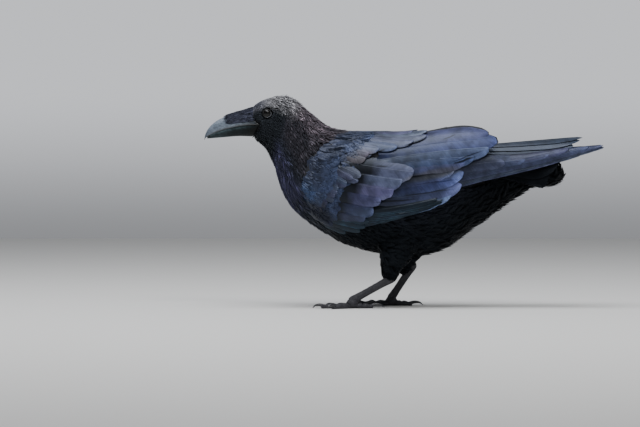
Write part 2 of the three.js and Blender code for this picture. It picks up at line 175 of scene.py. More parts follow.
def fill(items, key, values, kind=np.float32):
    items.foreach_set(key, np.asarray(values, kind).ravel())


def addLayers(mesh, corners, bake, vane, tone):
    for label, values in (("OFBake", bake), ("vane", vane)):
        if values is not None:
            fill(mesh.uv_layers.new(name=label).data, "uv", values[corners])
    if tone is not None:
        fill(mesh.attributes.new("tone", "FLOAT_COLOR", "POINT").data, "color", tone)


def makeObject(name, points, triangles, paint, bake=None, vane=None, tone=None):
    mesh = bpy.data.meshes.new(name)
    points = np.asarray(points, np.float32)
    triangles = np.asarray(triangles, np.int32)
    a, b, c = (points[triangles[:, k]] - points.mean(0) for k in range(3))
    if (a * np.cross(b, c)).sum() < 0:  # outsides face out
        triangles = triangles[:, ::-1]
    count, corners = len(triangles), triangles.ravel()
    mesh.vertices.add(len(points))
    fill(mesh.vertices, "co", points)
    mesh.loops.add(len(corners))
    fill(mesh.loops, "vertex_index", corners, np.int32)
    mesh.polygons.add(count)
    fill(mesh.polygons, "loop_start", np.arange(0, len(corners), 3), np.int32)
    fill(mesh.polygons, "loop_total", np.full(count, 3), np.int32)
    fill(mesh.polygons, "use_smooth", np.ones(count), bool)
    mesh.update(calc_edges=True)
    addLayers(mesh, corners, bake, vane, tone)
    mesh.validate()
    mesh.materials.append(paint.made)
    return linked(name, mesh)


def asPiece(name, points, faces, paint, slot, node=None, **layers):  # node is the CAD solid it replaces
    piece = makeObject(name, points, faces, paint, **layers)
    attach(piece, "root")
    if node:
        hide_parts(node)
    return piece


def closed(ring):  # the points of a stack of rings, with one more in the middle of either end
    return np.concatenate([ring.reshape(-1, 3), ring[:1].mean(1), ring[-1:].mean(1)])


def ringFaces(rings, around):  # the triangles of such a stack
    faces = []
    for row, column in product(range(rings - 1), range(around)):
        a, b = row * around + column, row * around + (column + 1) % around
        faces += [(a, b, b + around), (a, b + around, a + around)]
    first, last, start = rings * around, rings * around + 1, (rings - 1) * around
    for column in range(around):
        after = (column + 1) % around
        faces += [(first, after, column), (last, start + column, start + after)]
    return np.array(faces)


def circle(count):
    return np.linspace(0, fullTurn, count, endpoint=False)


def sweep(path, deep, wide, around, plates=1):  # rings round a path, with their half sizes
    tangent = unit(np.gradient(path, axis=0))
    side = unit(np.array([0, 1.0, 0]) - tangent[:, 1:2] * tangent)
    fore = np.cross(tangent, side)
    angle = circle(around)
    ring = (path[:, None] + side[:, None] * (wide[:, None] * np.sin(angle) * plates)[..., None]
            + fore[:, None] * (deep[:, None] * np.cos(angle) * plates)[..., None])
    return closed(ring), ringFaces(len(path), around)


body = {  # sections from the bill's root to the undertail, in millimetres
    "top": [(-214, 278), (-205, 286), (-191, 292.5), (-175, 295.5), (-158, 294), (-141, 282),
            (-124, 268), (-106, 254), (-82, 248.5), (-52, 247), (-18, 245), (22, 242), (54, 238),
            (84, 231), (112, 224), (138, 226), (160, 229), (182, 229), (202, 230), (219, 229), (230, 226)],
    "bottom": [(-217, 239.5), (-208, 235), (-197, 227.5), (-189, 217), (-182, 199), (-176, 176),
               (-168, 155), (-156, 137), (-133, 117), (-92, 91.5), (-42, 76), (14, 71), (54, 82),
               (88, 107), (118, 128), (141, 141), (163, 154), (186, 163), (204, 172), (221, 201),
               (231, 214)],
    "wide": [13, 18.5, 23, 26, 28.5, 32, 38, 46, 52, 55, 56, 55, 49, 39, 29, 26, 23, 22, 21, 15, 7],
    "middle": [0.5, 0.52, 0.5, 0.46, 0.45, 0.45, 0.42, 0.42, 0.45, 0.46, 0.46, 0.48, 0.5, 0.52,
               0.55, 0.6, 0.65, 0.6, 0.5, 0.5, 0.5],
}
wing = {  # the form that the folded wings wrap round: x, top, bottom, half width
    "form": [(-167, 288, 141, 36), (-146, 281, 125, 46), (-118, 259, 102, 56), (-83, 249, 84, 62),
             (-41, 248, 73, 65), (1, 248, 69, 64), (43, 255, 83, 60), (85, 260, 118, 52),
             (120, 253, 144, 47), (148, 237, 154, 43), (190, 233, 174, 38.5), (232, 237, 196, 33),
             (281, 236, 214, 26)],
    "power": 0.92,
}
lastSection = len(body["wide"]) - 1
spineSteps = np.linspace(0, lastSection, 240)
spineTop, spineBottom = (np.stack(curves(body[key], spineSteps), 1) * mm for key in ("top", "bottom"))
spineWide = curve(body["wide"], spineSteps) * mm
spineMiddle = curve(body["middle"], spineSteps)
spineCentre = spineBottom + (spineTop - spineBottom) * spineMiddle[:, None]
spineUp = unit(spineTop - spineBottom)
spineHeight = np.linalg.norm(spineTop - spineBottom, axis=1)


def bodyPlace(points):  # section step, how far up (-1 to 1) and how far to the side (-1 to 1)
    flat = points[:, [0, 2]]
    away = flat[:, None] - spineCentre[None]
    ahead = np.stack([spineUp[:, 1], -spineUp[:, 0]], 1)
    off = np.abs((away * ahead).sum(-1)) + 0.15 * np.linalg.norm(away, axis=-1)
    nearest = off.argmin(1)
    up = (away[np.arange(len(flat)), nearest] * spineUp[nearest]).sum(-1)
    middle = spineMiddle[nearest]
    reach = np.where(up > 0, 1 - middle, middle) * spineHeight[nearest]
    return spineSteps[nearest], up / reach, points[:, 1] / spineWide[nearest]


def bodyFlow(points):  # the way the plumage lies: along the body from bill to tail
    index = (bodyPlace(points)[0] / spineSteps[1]).round().astype(int)
    index = np.clip(index, 1, len(spineSteps) - 2)
    way = unit(spineCentre[index + 1] - spineCentre[index - 1])
    return np.stack([way[:, 0], np.zeros(len(points)), way[:, 1]], 1)


def bodyUnwrap(points):  # round the body against along it, opened under the belly
    step, up, side = bodyPlace(points)
    return np.stack([0.04 + 0.92 * step / lastSection, 0.5 + 0.9 * (np.arctan2(side, up) / fullTurn)], 1)


wingRows = np.array(wing["form"], float)
wingX = np.linspace(wingRows[0, 0], wingRows[-1, 0], 400)
wingIndex = np.interp(wingX, wingRows[:, 0], np.arange(len(wingRows)))
wingTop, wingBottom, wingWide = curves(wingRows[:, 1:], wingIndex)


def wingPoint(x, turn, height=0.0):
    # the left wing, in millimetres and degrees from the top; height stands out from the form
    top, bottom, wide = (np.interp(x, wingX, row) for row in (wingTop, wingBottom, wingWide))
    sine, cosine = np.sin(np.radians(turn)), np.cos(np.radians(turn))
    half = (top - bottom) / 2 + height
    return np.stack([x + 0 * turn, -(wide + height) * powered(sine, wing["power"]),
                     (top + bottom) / 2 + half * powered(cosine, wing["power"])], -1)


def wingTurn(x, z):  # degrees from the top for a height in the side view
    top, bottom = np.interp(x, wingX, wingTop), np.interp(x, wingX, wingBottom)
    level = np.clip((z - (top + bottom) / 2) / ((top - bottom) / 2), -0.995, 0.995)
    return np.degrees(np.arccos(powered(level, 1 / wing["power"])))


def wingUnwrap(x, turn, side):
    return np.stack([0.04 + 0.92 * (x + 170) / 460, 0.5 + side * 0.45 * turn / 180], 1)


# colours of the regions; the paler crown, forehead and mantle hold painted highlight, and the near black
# belly and vent hold painted shade, along with their own colour
shades = {name: np.array(colour) for name, colour in {
    "vent": (0.0018, 0.0022, 0.0026),
    "belly": (0.0032, 0.0042, 0.0052),
    "breast": (0.012, 0.014, 0.021),
    "mantle": (0.036, 0.046, 0.074),
    "neck": (0.022, 0.019, 0.023),
    "nape": (0.090, 0.072, 0.084),
    "crown": (0.290, 0.288, 0.300),
    "forehead": (0.080, 0.082, 0.102),
    "cheek": (0.005, 0.0062, 0.007),
    "hackle": (0.027, 0.026, 0.056),
    "gape": (0.010, 0.011, 0.012),
}.items()}
gape = {  # the rear edge of the bare bill on the cheek, from the chin up
    "z": [237.5, 240, 243, 249, 256, 259, 262.5],
    "x": [-214, -209.5, -206.5, -203.5, -201.8, -205, -212],
}


def inGape(points, spare=0.0):  # the bill's root behind the front of the head
    x, z = points[:, 0] / mm, points[:, 2] / mm
    return (x < np.interp(z, gape["z"], gape["x"]) + spare) & (z < gape["z"][-1]) & (z > gape["z"][0])


def toneAt(points):  # the markings that skin and plumage share, with painted highlight on the top of the head and back and painted shade underneath
    step, up, _ = bodyPlace(points)
    neck = ease(3.2, 4.4, step) * ease(9.2, 7.8, step)
    masks = {
        # near black belly and vent: in part painted shade under the body
        "belly": ease(0.1, -0.7, up) * ease(7, 9, step),
        "vent": ease(11, 14, step) * ease(0.8, -0.2, up),
        # the back's top paler, in part as painted highlight from above
        "mantle": ease(7.6, 9.4, step) * ease(0.05, 0.7, up),
        "neck": neck * ease(-0.3, 0.2, up),
        "nape": neck * ease(0.5, 0.9, up) * ease(8.6, 6.0, step),
        "cheek": ease(4.2, 3.2, step),
        # crown and forehead paler on top, in part as painted highlight
        "crown": ease(5.0, 3.6, step) * ease(0.42, 0.9, up),
        "forehead": ease(2.4, 0.9, step) * ease(0.32, 0.8, up),
        "hackle": ease(2.8, 4.2, step) * ease(7.6, 6.0, step) * ease(-0.15, -0.5, up),
        "gape": inGape(points).astype(float),
    }
    tone = np.tile(shades["breast"], (len(points), 1))
    for name, mask in masks.items():
        tone = tone * (1 - mask[:, None]) + shades[name] * mask[:, None]
    return tone


marks = [  # colour patches of the wing and, where the tint is dark, painted shadows in gaps and under feather tips, in the side view: x, z, half length and depth, slope, tint
    (-64, 210, 26, 13, 0.2, (1.30, 1.02, 0.72)), (40, 187, 44, 8, 0.22, (1.15, 1.0, 0.62)),
    (-142, 158, 18, 26, 0.0, (0.80, 1.05, 1.25)), (-60, 152, 44, 16, 0.5, (1.0, 0.92, 1.05)),
    (20, 168, 60, 10, 0.16, (1.0, 0.94, 1.15)), (-116, 130, 40, 13, -0.75, (0.25, 0.22, 0.24)),
    (-40, 126, 60, 9, 0.35, (0.55, 0.6, 0.65)), (-55, 202, 11, 1.7, 0.24, (0.04, 0.04, 0.05)),
    (-36, 217.5, 11, 1.6, 0.42, (0.05, 0.05, 0.07)), (-32, 198, 10, 1.2, -0.02, (0.1, 0.1, 0.12)),
    (15, 231, 17, 2.2, 0.3, (0.04, 0.04, 0.06)), (62, 238, 12, 1.1, 0.42, (0.08, 0.08, 0.1)),
    (82, 206, 18, 1.8, 0.34, (0.05, 0.05, 0.06)), (88, 212, 26, 1.0, 0.38, (0.15, 0.15, 0.2)),
    (-14, 150, 30, 1.5, 0.08, (0.12, 0.12, 0.16)), (30, 161, 40, 1.2, 0.14, (0.2, 0.2, 0.25)),
    (44, 176, 34, 1.0, 0.12, (0.35, 0.35, 0.45)),
]


def plumagePaint(name, roughness, gloss, barb, edge, rimLight, sheen, marked=()):
    # barb is the pitch of the barbs, edge the depth of their relief, rimLight how far the vane's rim is
    # lightened as a painted highlight
    paint = Paint(name, Specular_IOR_Level=gloss, Specular_Tint=(0.72, 0.82, 1.0, 1.0), Sheen_Weight=sheen,
                  Sheen_Roughness=0.35, Sheen_Tint=(0.7, 0.8, 1.0, 1.0))
    across, along, _ = paint.vane()
    fromRachis = paint.node("Math", {"operation": "ABSOLUTE"}, [across])
    slant = along * metre - fromRachis * 900  # millimetres along a barb's own line
    barbs = paint.noise(paint.vector(slant * (1 / barb), across * 60), 1.0, 2.0)
    patches = paint.noise(paint.place(), 75.0, 4.0)
    lift = paint.range(barbs, 0.3, 0.75, 0.74, 1.28)
    cloud = paint.range(patches, 0.32, 0.68, 0.66, 1.34)
    # the rim lightened as a painted highlight
    pale = paint.range(paint.tone("Alpha"), 0.78, 1.0, 1.0, rimLight)
    colour = paint.shaded(paint.tone(), lift * cloud * pale)
    x, _, z = paint.parts(paint.place())
    x, z = x * metre, z * metre + 3.0 * patches + 1.2 * barbs - 2.1  # the marks' edges wander
    # each mark tints a patch, or paints a shadow where its tint is dark
    for markX, markZ, long, thick, slope, tint in marked:
        ahead, rise = x - markX, z - markZ
        lean = math.hypot(1, slope)
        u = (ahead + slope * rise) * (1 / lean / long)
        v = (rise - slope * ahead) * (1 / lean / thick)
        mask = paint.range(u * u + v * v, 0.1, 1.3, 1.0, 0.0)
        colour = paint.blend(mask, colour, (*tint, 1.0), "MULTIPLY")
    paint.feed(Base_Color=colour, Roughness=roughness + 0.16 * barbs - 0.08)
    rachis = paint.range(fromRachis, 0.0, 0.0007, 1.0, 0.0)
    return paint.bumps(barbs * 0.6 + rachis * 0.8, 0.0006 * edge, 0.55)


headPaint = plumagePaint("head_plumage", 0.58, 0.26, 0.5, 0.6, 1.3, 0.05)
bodyPaint = plumagePaint("body_plumage", 0.50, 0.22, 0.7, 0.5, 1.15, 0.02)
bellyPaint = plumagePaint("belly_plumage", 0.62, 0.10, 0.7, 0.6, 1.2, 0.0)
mantlePaint = plumagePaint("mantle_plumage", 0.46, 0.32, 0.7, 0.5, 1.12, 0.04, marks)
wingPaint = plumagePaint("wing_plumage", 0.38, 0.34, 0.8, 0.8, 1.5, 0.03, marks)


def bareSkinPaint(name, roughness, gloss, grain, shade, relief, strength):
    paint = Paint(name, Roughness=roughness, Specular_IOR_Level=gloss)
    down = paint.noise(paint.place(), grain)
    paint.feed(Base_Color=paint.shaded(paint.tone(), paint.range(down, 0.3, 0.7, *shade)))
    return paint.bumps(down, relief, strength)


skinPaint = bareSkinPaint("skin", 0.75, 0.2, 700.0, (0.35, 0.75), 0.0008, 0.6)
lidPaint = bareSkinPaint("eyelid", 0.5, 0.5, 1500.0, (0.6, 1.2), 0.0003, 0.5)
corePaint = Paint("under_plumage", Roughness=0.8)
corePaint.feed(Base_Color=corePaint.blend(corePaint.noise(corePaint.place(), 500.0),
                                          (0.006, 0.007, 0.009, 1), (0.02, 0.022, 0.03, 1)))


def hornPaint(name, dark, pale, roughness, grain, gloss=0.55, varnish=0.25, toned=True):
    paint = Paint(name, Specular_IOR_Level=gloss, Coat_Weight=varnish, Coat_Roughness=0.22)
    place = paint.place()
    x, y, z = paint.parts(place)
    growth = paint.noise(paint.vector(x * 0.12, y, z), grain, 4.0)
    wear = paint.noise(place, grain * 0.35, 5.0)
    colour = paint.blend(paint.range(growth * 0.5 + wear * 0.5, 0.36, 0.62), dark, pale)
    if toned:
        colour = paint.blend(1.0, colour, paint.tone(), "MULTIPLY")
    paint.feed(Base_Color=colour, Roughness=roughness + 0.2 * wear - 0.08)
    return paint.bumps(growth * 0.7 + wear * 0.3, 0.0003, 0.5)


slate = (0.046, 0.057, 0.074, 1), (0.095, 0.114, 0.145, 1)
billPaint = hornPaint("bill_horn", *slate, 0.30, 900.0)
chinPaint = hornPaint("bill_horn_below", *slate, 0.45, 900.0, 0.15, 0.0)
clawPaint = hornPaint("claw_horn", (0.012, 0.012, 0.014, 1), (0.04, 0.04, 0.045, 1), 0.34, 1400.0,
                      toned=False)


def legPaint():
    paint = Paint("leg_scales", Specular_IOR_Level=0.4)
    place = paint.place()
    cells = paint.node("TexVoronoi", {"feature": "DISTANCE_TO_EDGE"}, {"Vector": place, "Scale": 620.0})
    wear = paint.noise(place, 380.0, 4.0)
    seam = paint.range(cells, 0.0, 0.12)
    skin = paint.blend(wear, (0.015, 0.015, 0.019, 1), (0.055, 0.054, 0.066, 1))
    paint.feed(Base_Color=paint.blend(seam, (0.014, 0.014, 0.015, 1), skin), Roughness=0.42 + 0.25 * wear)
    return paint.bumps(seam * 0.7 + wear * 0.3, 0.0005, 0.6)


scalePaint = legPaint()


def eyePaint():
    paint = Paint("eye", Roughness=0.03, Specular_IOR_Level=0.34)
    radius, angle, _ = paint.vane()
    rays = paint.noise(paint.vector(radius * 2, angle * 40), 1.0)
    iris = paint.blend(rays, (0.0008, 0.0005, 0.0004, 1), (0.0024, 0.0015, 0.0011, 1))
    ring = paint.blend(paint.range(radius, 0.86, 0.98), iris, (0.002, 0.002, 0.002, 1))
    pupil = paint.range(radius, 0.40, 0.46)
    paint.feed(Base_Color=paint.blend(pupil, (0.001, 0.001, 0.001, 1), ring))
    return paint


irisPaint = eyePaint()
print("finishes ready")

eye = {"x": -191.5 * mm, "z": 270.9 * mm, "side": 15.6 * mm, "radius": 7.5 * mm, "open": 5.2 * mm}
skin = {
    "flesh": ["head", "neck", "trunk", "thigh_left", "thigh_right"],
    "voxel": 0.0026, "smoothing": 6,
    "steps": [0, 1.5, 3, 5, 7, 9, 14, 17, 20], "depth": [0.6, 1.0, 1.6, 2.6, 3.4, 4.0, 4.0, 2.4, 0.6],
    "stub": dict(first=13.4, last=18.3, rings=16, around=24, sag=0.055, deep=0.42, wide=0.85),
}


def joined(pieces):  # all of them in the first
    with bpy.context.temp_override(active_object=pieces[0], selected_editable_objects=pieces,
                                   selected_objects=pieces, object=pieces[0]):
        bpy.ops.object.join()
    return pieces[0]


def settle(piece, kind, **settings):
    modifier = piece.modifiers.new(kind.lower(), kind)
    for key, value in settings.items():
        setattr(modifier, key, value)
    with bpy.context.temp_override(object=piece, active_object=piece):
        bpy.ops.object.modifier_apply(modifier=modifier.name)


def fromEye(points):
    return np.hypot(points[:, 0] - eye["x"], points[:, 2] - eye["z"])


def coatDepth(points):
    step = bodyPlace(points)[0]
    depth = np.interp(step, skin["steps"], skin["depth"]) * mm
    depth = depth + 2.2 * mm * inGape(points, 1.2)
    depth = depth + 1.5 * mm * ease(9.5 * mm, 6.0 * mm, fromEye(points)) * (step < 4)
    legs = (points[:, 2] < 0.085) & (np.abs(points[:, 1]) > 0.015)
    return np.where(legs, np.interp(points[:, 2], [0.03, 0.085], [0.8 * mm, 3.5 * mm]), depth)


def makeSkin():
    copies = []
    for node in skin["flesh"]:
        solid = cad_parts[node]
        copies.append(solid.copy())
        copies[-1].data = solid.data.copy()
        bpy.context.scene.collection.objects.link(copies[-1])
    whole = joined(copies)
    whole.name = "skin"
    whole.parent = None
    stub = skin["stub"]
    steps = np.linspace(stub["first"], stub["last"], stub["rings"])
    index = (steps / spineSteps[1]).round().astype(int)
    sag = stub["sag"] * spineHeight[index]  # the rump lies low between the tail's roof and its coverts
    centre = np.stack([spineCentre[index, 0], 0 * steps, spineCentre[index, 1] - sag], 1)
    points, faces = sweep(centre, spineHeight[index] * stub["deep"], spineWide[index] * stub["wide"],
                          stub["around"])
    whole = joined([whole, makeObject("stub", points, faces, skinPaint)])
    settle(whole, "REMESH", mode="VOXEL", voxel_size=skin["voxel"], adaptivity=0.0)
    settle(whole, "SMOOTH", factor=0.5, iterations=skin["smoothing"])
    mesh = whole.data
    points = read(mesh.vertices, "co", 3)
    points -= read(mesh.vertices, "normal", 3) * coatDepth(points)[:, None]
    fill(mesh.vertices, "co", points, float)
    mesh.update()
    corners = read(mesh.loops, "vertex_index", kind=np.int32)[:, 0]
    tone = np.concatenate([toneAt(points), np.ones((len(points), 1))], 1)
    addLayers(mesh, corners, bodyUnwrap(points), None, tone)
    fill(mesh.polygons, "use_smooth", np.ones(len(mesh.polygons)), bool)
    mesh.materials.clear()
    mesh.materials.append(skinPaint.made)
    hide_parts(*skin["flesh"])
    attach(whole, "root")
    mesh.calc_loop_triangles()
    return read(mesh.vertices, "co", 3), read(mesh.loop_triangles, "vertices", 3, np.int32)


class Ground:  # a surface that feathers grow on
    def __init__(self, points, faces):
        self.points, self.faces = points, faces
        self.tree = BVHTree.FromPolygons(points.tolist(), faces.tolist())

    def nearest(self, points):
        found = [self.tree.find_nearest(Vector(p)) for p in points]
        return np.array([f[0] for f in found]), np.array([f[1] for f in found])


skinGround = Ground(*makeSkin())
print("skin ready", len(skinGround.points))
coatCount = {}


def addVanes(name, made, paint, slot, node=None):
    points, faces, bake, vane, tone = made
    asPiece(name, points, faces, paint, slot, node, bake=bake, vane=vane, tone=tone)
    coatCount[name] = len(faces)
    print(name, len(faces), "triangles")


def stack(parts):
    columns = list(zip(*parts))
    starts = np.cumsum([0] + [len(points) for points in columns[0]])
    faces = [part + start for part, start in zip(columns[1], starts)]
    return (np.concatenate(columns[0]), np.concatenate(faces), *(np.concatenate(c) for c in columns[2:]))


def thinned(thick, spread, reach):  # half the thickness, less towards the edges
    return thick * (1 - 0.6 * np.abs(spread)) + 0 * reach


def vanesFrom(top, normals, thick, tip, root, widthAxis, lengthAxis, unwrap, tone, look=None):
    # closed thin feathers; top is feathers x rows x columns x 3, thick half the thickness at each column
    # look gives each point's painted shade and painted rim highlight from its place across (-1 to 1) and
    # along (0 to 1)
    count, rows, columns, _ = top.shape

    def around(grid):  # the columns there and back
        return np.concatenate([grid, grid[:, :, -2:0:-1]], axis=2).reshape(count, -1)

    under = top[:, :, -2:0:-1] - (normals * thick[..., None])[:, :, -2:0:-1]
    ring = np.concatenate([top, under], axis=2)
    points = np.concatenate([ring.reshape(count, -1, 3), root[:, None], tip[:, None]], axis=1)
    each = points.shape[1]
    faces = ringFaces(rows, 2 * columns - 2)[None] + (np.arange(count) * each)[:, None, None]
    middle = columns // 2
    across = np.concatenate([around(widthAxis), np.zeros((count, 2))], axis=1)
    along = np.concatenate([around(lengthAxis), lengthAxis[:, [0, -1], middle]], axis=1)
    widest = np.abs(across).max(1, keepdims=True) + 1e-9
    longest = along.max(1, keepdims=True) + 1e-9
    local = np.stack([across / widest * 0.5, along / longest - 0.5], -1)
    bake = unwrap[:, None] + patchSize * local
    tones = np.repeat(tone[:, None], each, axis=1)
    if look is None:
        # without a look, the rim is a painted highlight towards the edges and the outer half, half as strong
        # near the root
        rim = np.maximum(np.abs(local[..., 0]) * 2, 2 * np.abs(np.maximum(local[..., 1], 0)))
        rim = np.where(along < 0.35 * longest, rim * 0.5, rim)[..., None]
    else:
        shade, rim = look(across / widest, along / longest)
        tones, rim = tones * shade[..., None], rim[..., None]
    return (points.reshape(-1, 3), faces.reshape(-1, 3), bake.reshape(-1, 2),
            np.stack([across, along], -1).reshape(-1, 2), np.concatenate([tones, rim], -1).reshape(-1, 4))


shapes = {  # where each row of a vane lies, and how wide it is there
    "round": ([0.02, 0.2, 0.42, 0.62, 0.78, 0.9, 0.97], [0.3, 0.72, 0.95, 1.0, 0.9, 0.66, 0.36]),
    "pointed": ([0.02, 0.25, 0.5, 0.75, 0.92], [0.35, 0.9, 1.0, 0.66, 0.26]),
    "small": ([0.03, 0.4, 0.8], [0.4, 1.0, 0.7]),
}


def settleWay(way, normal):
    return unit(way - (way * normal).sum(-1, keepdims=True) * normal)


def coat(name, roots, flow, length, width, lift, paint, slot, shape, jitter, columns=5, tone=None,
         unwrap=None, depth=0.3 * mm, camber=0.14, tint=0.1, ground=skinGround):
    # feathers rooted at points of the ground, following the flow over it to within jitter degrees
    points, normals = roots
    count = len(points)
    rows, profile = (np.array(part) for part in shapes[shape])
    length = np.broadcast_to(length, count) * dice.uniform(0.88, 1.12, count)
    width = np.broadcast_to(width, count) * dice.uniform(0.9, 1.1, count)
    lift = np.broadcast_to(lift, count) * dice.uniform(0.8, 1.2, count)
    turn = np.radians(dice.normal(0, jitter, count))[:, None]
    way = settleWay(flow, normals)
    way = way * np.cos(turn) + np.cross(normals, way) * np.sin(turn)
    stations, normalsAt, place = [points], [normals], points
    for _ in range(2):
        place, normal = ground.nearest(place + way * (length / 2)[:, None])
        way = settleWay(way, normal)
        stations.append(place)
        normalsAt.append(normal)
    t = rows[None, :, None]
    weights = (2 * (t - 0.5) * (t - 1), -4 * t * (t - 1), 2 * t * (t - 0.5))
    centre = sum(w * s[:, None] for w, s in zip(weights, stations))
    up = unit(sum(w * n[:, None] for w, n in zip(weights, normalsAt)))
    height = depth + lift[:, None] * (0.15 + 0.85 * rows[None])
    centre = centre + up * height[..., None]
    along = unit(np.gradient(centre, axis=1))
    side = unit(np.cross(up, along))
    spread = np.linspace(-1, 1, columns)
    ragged = 1 + dice.normal(0, 0.05, (count, len(rows), columns))
    reach = spread * (width / 2)[:, None, None] * profile[None, :, None] * ragged
    sink = -camber * width[:, None, None] * spread**2 * profile[None, :, None]
    top = centre[:, :, None] + side[:, :, None] * reach[..., None] + up[:, :, None] * sink[..., None]
    normalGrid = np.repeat(up[:, :, None], columns, axis=2)
    thick = thinned((0.16 * mm + 0.02 * width)[:, None, None], spread, reach)
    root = centre[:, 0] - along[:, 0] * (length * 0.02)[:, None]
    tip = centre[:, -1] + along[:, -1] * (length * (1 - rows[-1]))[:, None]
    tip = tip + side[:, -1] * (width * dice.normal(0, 0.06, count))[:, None]
    lengthAxis = (length[:, None] * rows[None])[..., None] + 0 * reach
    tone = toneAt(points) if tone is None else tone
    tone = tone * dice.uniform(1 - tint, 1 + tint, (count, 1))
    unwrap = bodyUnwrap(points) if unwrap is None else unwrap
    made = vanesFrom(top, normalGrid, thick, tip, root, reach, lengthAxis, unwrap, tone)
    addVanes(name, made, paint, slot)


def scatter(spacingAt, keep, many, ground=skinGround):
    # evenly spread roots over the ground, as close as spacingAt says, where keep is true
    corners = ground.points[ground.faces]
    middle = corners.mean(1)
    area = np.linalg.norm(np.cross(corners[:, 1] - corners[:, 0], corners[:, 2] - corners[:, 0]), axis=1)
    spacing = spacingAt(middle)
    weight = area / spacing**2 * keep(middle)
    picks = dice.choice(len(corners), many, p=weight / weight.sum())
    a, b = dice.random(many), dice.random(many)
    flip = a + b > 1
    a, b = np.where(flip, 1 - a, a), np.where(flip, 1 - b, b)
    first, second, third = (corners[picks, k] for k in range(3))
    points = first + (second - first) * a[:, None] + (third - first) * b[:, None]
    need = spacing[picks]
    taken, cells = [], {}
    size = need.max()
    around = list(product((-1, 0, 1), repeat=3))
    for index, p in enumerate(points):
        x, y, z = (p // size).astype(int)
        near = (q for i, j, k in around for q in cells.get((x + i, y + j, z + k), ()))
        gap = (0.8 * need[index])**2
        if all((p[0] - q[0])**2 + (p[1] - q[1])**2 + (p[2] - q[2])**2 >= gap for q in near):
            taken.append(index)
            cells.setdefault((x, y, z), []).append(p)
    return ground.nearest(points[taken])


def row(step, places, values):
    return np.interp(step, places, values) * mm


def underWing(points):  # well inside the folded wings, where no feather shows
    x, z = points[:, 0] / mm, points[:, 2] / mm
    turn = wingTurn(x, z)
    low = np.interp(x, [-150, -120, -60, 0, 60, 110], [112, 118, 108, 88, 78, 66])
    high = np.interp(x, [-150, -100, 0, 60, 110], [96, 60, 46, 30, 30])
    return (np.abs(points[:, 1]) > 8 * mm) & (turn > high) & (turn < low) & (x > -134) & (x < 104)


def onHead(p):  # clear of the eye and the bill's root
    step = bodyPlace(p)[0]
    return (step < 4.4) & (step > 0.02) & (fromEye(p) > eye["open"] + 0.6 * mm) & ~inGape(p, 0.4)


def onNeck(p):
    step = bodyPlace(p)[0]
    return (step > 4.1) & (step < 9.6) & ~underWing(p)


def onBody(p):  # but for the thighs, and the rump under the tail's feathers
    step, up, _ = bodyPlace(p)
    return (step > 8.6) & (p[:, 2] > 0.06) & ~underWing(p) & ~((step > 12.8) & (up > -0.2))


def onThighs(p):
    return (p[:, 2] > 0.028) & (p[:, 2] < 0.088) & (np.abs(p[:, 1]) > 0.015)


def spaced(steps, values):
    return lambda p: row(bodyPlace(p)[0], steps, values)


def headFeathers():
    roots = scatter(spaced([0, 1, 3, 4.5], [1.15, 1.3, 1.65, 2.1]), onHead, 30000)
    points, count = roots[0], len(roots[0])
    step, up, _ = bodyPlace(points)
    nape = ease(2.2, 3.6, step) * ease(0.3, 0.8, up)
    chin = ease(-0.3, -0.8, up) * ease(4.4, 3.0, step)
    fuzz = ease(1.6, 2.8, step) * ease(0.5, 0.9, up) * dice.uniform(0, 1, count) ** 2
    fleck = (dice.random(count) < 0.10 + 0.22 * nape) * dice.uniform(0.3, 2.2, count)
    lores = ease(13 * mm, 7 * mm, fromEye(points))
    tone = toneAt(points) * (1 + fleck * (1 - 0.5 * lores))[:, None] * (1 - 0.45 * lores)[:, None]
    coat("feathers_head", roots, bodyFlow(points),
         row(step, [0, 1.5, 3, 4.5], [3.2, 4.4, 6.5, 8.5]) * (1 + 0.35 * nape + 0.6 * chin),
         row(step, [0, 2, 4.5], [1.5, 2.0, 2.8]) * (1 - 0.35 * nape),
         row(step, [0, 2, 4.5], [0.5, 0.9, 1.6]) * (1 + 0.9 * nape) + (2.4 * chin + 2.2 * fuzz) * mm,
         headPaint, "head_plumage", "small", columns=3, jitter=12 + 22 * nape, tone=tone, tint=0.25)


def neckFeathers():
    roots = scatter(spaced([4, 6, 10], [2.1, 2.7, 3.5]), onNeck, 40000)
    points, count = roots[0], len(roots[0])
    step, up, _ = bodyPlace(points)
    throat = ease(0.0, -0.4, up) * ease(8.6, 7.4, step)
    nape = ease(8.5, 6.0, step) * ease(0.2, 0.8, up)
    chance = 0.24 * throat + 0.22 * nape + 0.04
    fleck = (dice.random(count) < chance) * dice.uniform(0.6, 3.2, count)
    coat("feathers_neck", roots, bodyFlow(points),
         row(step, [4, 6, 9], [9, 13, 17]) * (1 + 0.25 * throat),
         row(step, [4, 6, 9], [2.9, 3.9, 5.6]) * (1 - 0.32 * np.maximum(throat, nape)),
         row(step, [4, 6, 9], [1.6, 2.3, 3.4]) * (1 + 0.35 * np.maximum(throat, nape)),
         headPaint, "head_plumage", "pointed", columns=3, jitter=10 + 14 * nape,
         tone=toneAt(points) * (1 + fleck)[:, None], tint=0.25)


